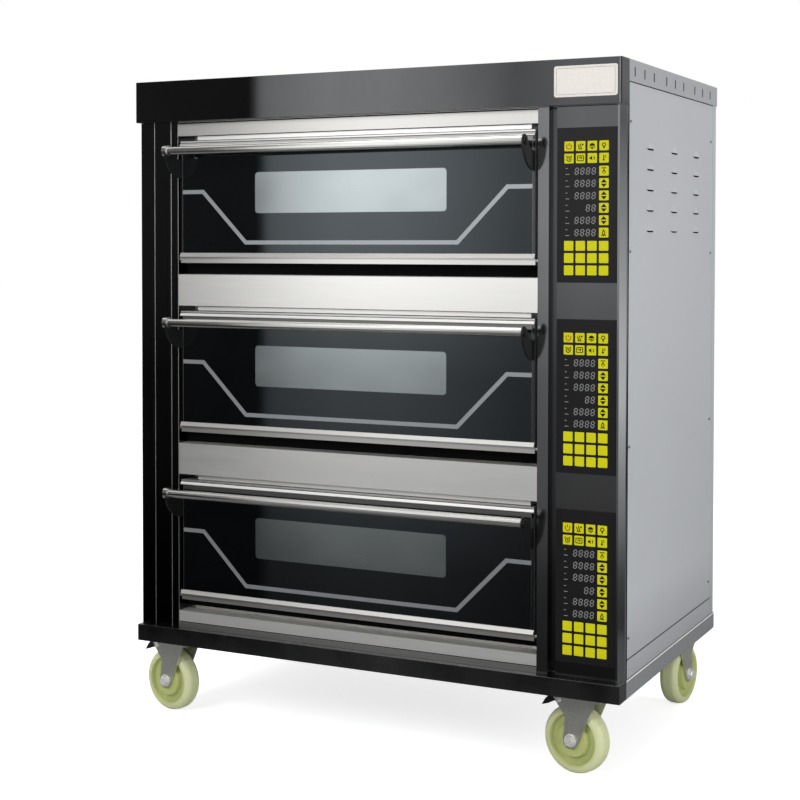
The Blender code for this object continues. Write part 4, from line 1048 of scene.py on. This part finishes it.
def handle_caps(deck):
    """A steel sleeve over the left end of the handle tube, and a black plug in its right end."""
    bar_low, bar_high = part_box("handle_bar_%d" % deck)
    radius = (bar_high.z - bar_low.z) / 2
    y = (bar_low.y + bar_high.y) / 2
    z = (bar_low.z + bar_high.z) / 2
    sleeve = radius + SLEEVE_WALL
    body = "door_%d" % deck
    bm = bmesh.new()
    profile = [(radius, -SLEEVE_REACH), (sleeve, -SLEEVE_REACH), (sleeve, CAP_LENGTH * CAP_EDGE_SHARE),
               (radius, CAP_LENGTH), (radius * CAP_EDGE_SHARE, CAP_LENGTH)]
    turned(bm, profile, ROUND_STEPS, facing((bar_low.x, y, z), (-1, 0, 0)))
    add_piece("handle_sleeve_%d" % deck, bm, "polished_steel", body)
    bm = bmesh.new()
    profile = [(radius * PLUG_STEM_SHARE, -PLUG_LENGTH), (radius, 0.0),
               (radius, PLUG_LENGTH * CAP_EDGE_SHARE), (radius * PLUG_FACE_SHARE, PLUG_LENGTH)]
    turned(bm, profile, ROUND_STEPS, facing((bar_high.x, y, z), (1, 0, 0)))
    add_piece("handle_plug_%d" % deck, bm, "black_plastic", body)


def leg_seats(centre, joint):
    """The matrices of the outer faces of both fork legs, where a joint's axis passes through a centre."""
    axis = Vector(joint["axis"]).normalized()
    return [facing(centre + axis * way * FORK_LEG_OUTER, axis * way) for way in (1, -1)]


def find_joint(name):
    """The frame's joint of one name."""
    return next(joint for joint in frame["joints"] if joint["name"] == name)


def axle_nuts(place):
    """A washer and a hexagon nut at each end of a caster's axle."""
    wheel_low, wheel_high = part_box("caster_wheel_" + place)
    bm = bmesh.new()
    for seat in leg_seats((wheel_low + wheel_high) / 2, find_joint("spin_" + place)):
        turned(bm, WASHER_PROFILE, ROUND_STEPS, seat)
        washer_height = WASHER_PROFILE[-1][1]
        turned(bm, NUT_PROFILE, HEXAGON, seat @ Matrix.Translation((0, 0, washer_height)))
    add_piece("axle_nuts_" + place, bm, "bright_zinc", "swivel_" + place, HEXAGON_SHARP)


def pedal_pins(place):
    """Domed heads at both ends of a brake pedal's cross pin."""
    joint = find_joint("brake_" + place)
    bm = bmesh.new()
    for seat in leg_seats(Vector(joint["pos_m"]), joint):
        turned(bm, PIN_PROFILE, PIN_STEPS, seat)
    add_piece("pedal_pins_" + place, bm, "bright_zinc", "pedal_" + place)


def caster_bolts(place):
    """Four bolt heads below the corners of a caster's plate."""
    low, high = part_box("caster_plate_" + place)
    below = high.z - CASTER_PLATE_THICKNESS
    bm = bmesh.new()
    for x in (low.x + BOLT_INSET, high.x - BOLT_INSET):
        for y in (low.y + BOLT_INSET, high.y - BOLT_INSET):
            seat = facing((x, y, below), (0, 0, -1))
            turned(bm, BOLT_WASHER_PROFILE, PIN_STEPS, seat)
            turned(bm, BOLT_PROFILE, HEXAGON, seat)
    add_piece("caster_bolts_" + place, bm, "bright_zinc", "root", HEXAGON_SHARP)


# Studio

def white_world():
    """A white background that casts a dimmer fill light than it shows."""
    world = bpy.data.worlds.new("studio")
    bpy.context.scene.world = world
    world.use_nodes = True
    tree = world.node_tree
    background = tree.nodes["Background"]
    background.inputs["Color"].default_value = (1.0, 1.0, 1.0, 1.0)
    path = tree.nodes.new("ShaderNodeLightPath")
    seen = path.outputs["Is Camera Ray"]
    for ray in ("Is Glossy Ray", "Is Transmission Ray"):
        either = tree.nodes.new("ShaderNodeMath")
        either.operation = "MAXIMUM"
        tree.links.new(seen, either.inputs[0])
        tree.links.new(path.outputs[ray], either.inputs[1])
        seen = either.outputs[0]
    tree.links.new(remap(tree, seen, (0.0, 1.0), (WORLD_FILL, 1.0)), background.inputs["Strength"])


def stage_plane(name, corners, material):
    """One four-cornered sheet of the studio, which isn't part of the object."""
    mesh = bpy.data.meshes.new(name)
    mesh.from_pydata(corners, [], [(0, 1, 2, 3)])
    mesh.materials.append(material)
    plane = bpy.data.objects.new(name, mesh)
    bpy.context.scene.collection.objects.link(plane)
    return plane


def stage_material(name):
    """A material with only its output node."""
    material = bpy.data.materials.new(name)
    material.use_nodes = True
    material.node_tree.nodes.remove(material.node_tree.nodes["Principled BSDF"])
    return material


def pale_floor():
    """A pale matt floor that meets the white background without a horizon, and is dimmer in reflections."""
    material = stage_material("floor")
    tree = material.node_tree
    path = tree.nodes.new("ShaderNodeLightPath")
    matt = tree.nodes.new("ShaderNodeBsdfDiffuse")
    light = tree.nodes.new("ShaderNodeEmission")
    for ray, target, levels in (("Is Glossy Ray", matt.inputs["Color"], (FLOOR_LEVEL, FLOOR_MIRRORED)),
                                ("Is Camera Ray", light.inputs["Strength"], (0.0, FLOOR_GLOW))):
        tree.links.new(remap(tree, path.outputs[ray], (0.0, 1.0), levels), target)
    both = tree.nodes.new("ShaderNodeAddShader")
    tree.links.new(matt.outputs[0], both.inputs[0])
    tree.links.new(light.outputs[0], both.inputs[1])
    tree.links.new(both.outputs[0], tree.nodes["Material Output"].inputs["Surface"])
    half = FLOOR_SIZE / 2
    stage_plane("floor", [(-half, -half, 0), (half, -half, 0), (half, half, 0), (-half, half, 0)], material)


def ramp_node(tree, factor, low, high, stops):
    """Brightness along one coordinate, from its stops."""
    ramp = tree.nodes.new("ShaderNodeValToRGB")
    elements = ramp.color_ramp.elements
    while len(elements) < len(stops):
        elements.new(0.5)
    for element, (place, level) in zip(elements, stops):
        element.position = (place - low) / (high - low)
        element.color = (level, level, level, 1.0)
    tree.links.new(remap(tree, factor, (low, high), (0.0, 1.0)), ramp.inputs["Fac"])
    return ramp.outputs["Color"]


def reflection_card(name, corners, axis, across, up, strength):
    """A studio card seen only in reflections, shaded along an axis and along Z."""
    material = stage_material(name)
    tree = material.node_tree
    coordinates = tree.nodes.new("ShaderNodeTexCoord")
    axes = tree.nodes.new("ShaderNodeSeparateXYZ")
    tree.links.new(coordinates.outputs["Object"], axes.inputs[0])
    both = tree.nodes.new("ShaderNodeVectorMath")
    both.operation = "MULTIPLY"
    for socket, (way, span, stops) in enumerate(((axis, CARD_SPAN, across), ("Z", CARD_RISE, up))):
        tree.links.new(ramp_node(tree, axes.outputs[way], *span, stops), both.inputs[socket])
    light = tree.nodes.new("ShaderNodeEmission")
    light.inputs["Strength"].default_value = strength
    tree.links.new(both.outputs[0], light.inputs["Color"])
    tree.links.new(light.outputs[0], tree.nodes["Material Output"].inputs["Surface"])
    card = stage_plane(name, corners, material)
    for ray in ("camera", "diffuse", "shadow", "transmission", "volume_scatter"):
        setattr(card, "visible_" + ray, False)


def card_outline(near, far):
    """A card's corners as (place along its foot, height)."""
    return [(near, CARD_FOOT), (far, CARD_FOOT), (far, CARD_TOP), (near, CARD_TOP)]


def reflection_cards():
    """A card in front of the oven, and one beyond its right side."""
    front = [(x, FRONT_CARD_Y, z) for x, z in card_outline(*FRONT_CARD_ENDS)]
    reflection_card("front_card", front, "X", FRONT_ACROSS, FRONT_UP, FRONT_STRENGTH)
    right = [(RIGHT_CARD_X, y, z) for y, z in card_outline(*RIGHT_CARD_ENDS)]
    reflection_card("right_card", right, "Y", RIGHT_ALONG, RIGHT_UP, RIGHT_STRENGTH)


def softbox(name, place, target, size, power):
    """An area lamp that points from a place at a target."""
    light = bpy.data.lights.new(name, "AREA")
    light.shape = "RECTANGLE"
    light.size, light.size_y = size
    light.energy = power
    lamp = bpy.data.objects.new(name, light)
    lamp.location = place
    lamp.rotation_euler = (Vector(target) - Vector(place)).to_track_quat("-Z", "Y").to_euler()
    lamp.visible_camera = False
    bpy.context.scene.collection.objects.link(lamp)


def studio():
    """Background, floor, cards and lamps."""
    white_world()
    pale_floor()
    reflection_cards()
    for values in SOFTBOXES:
        softbox(*values)


def camera():
    """The photograph's camera."""
    data = bpy.data.cameras.new("camera")
    data.sensor_width = CAMERA_SENSOR
    data.lens = CAMERA_LENS
    data.shift_x, data.shift_y = CAMERA_SHIFT
    obj = bpy.data.objects.new("camera", data)
    obj.location = CAMERA_PLACE
    obj.rotation_euler = (math.radians(90.0 + CAMERA_PITCH), 0.0, math.radians(CAMERA_YAW))
    bpy.context.scene.collection.objects.link(obj)
    bpy.context.scene.camera = obj


dress_nodes()
hood_plate()
front_trim()
for deck in DECKS:
    glass_graphics(deck)
    door_trim(deck)
    rail_bevels(deck)
    recess_strip(deck)
    keypad(deck)
    handle_caps(deck)
    sill_shade_strip(deck)
side_lines()
for side, sign in (("right", 1), ("left", -1)):
    side_screws(side, sign)
    vent_shade_sheets(side, sign)
back_screws()
for place in ("front_left", "front_right", "rear_left", "rear_right"):
    axle_nuts(place)
    caster_bolts(place)
for place in ("front_left", "front_right"):
    pedal_pins(place)
studio()
camera()
bpy.context.scene.view_settings.view_transform = "Standard"
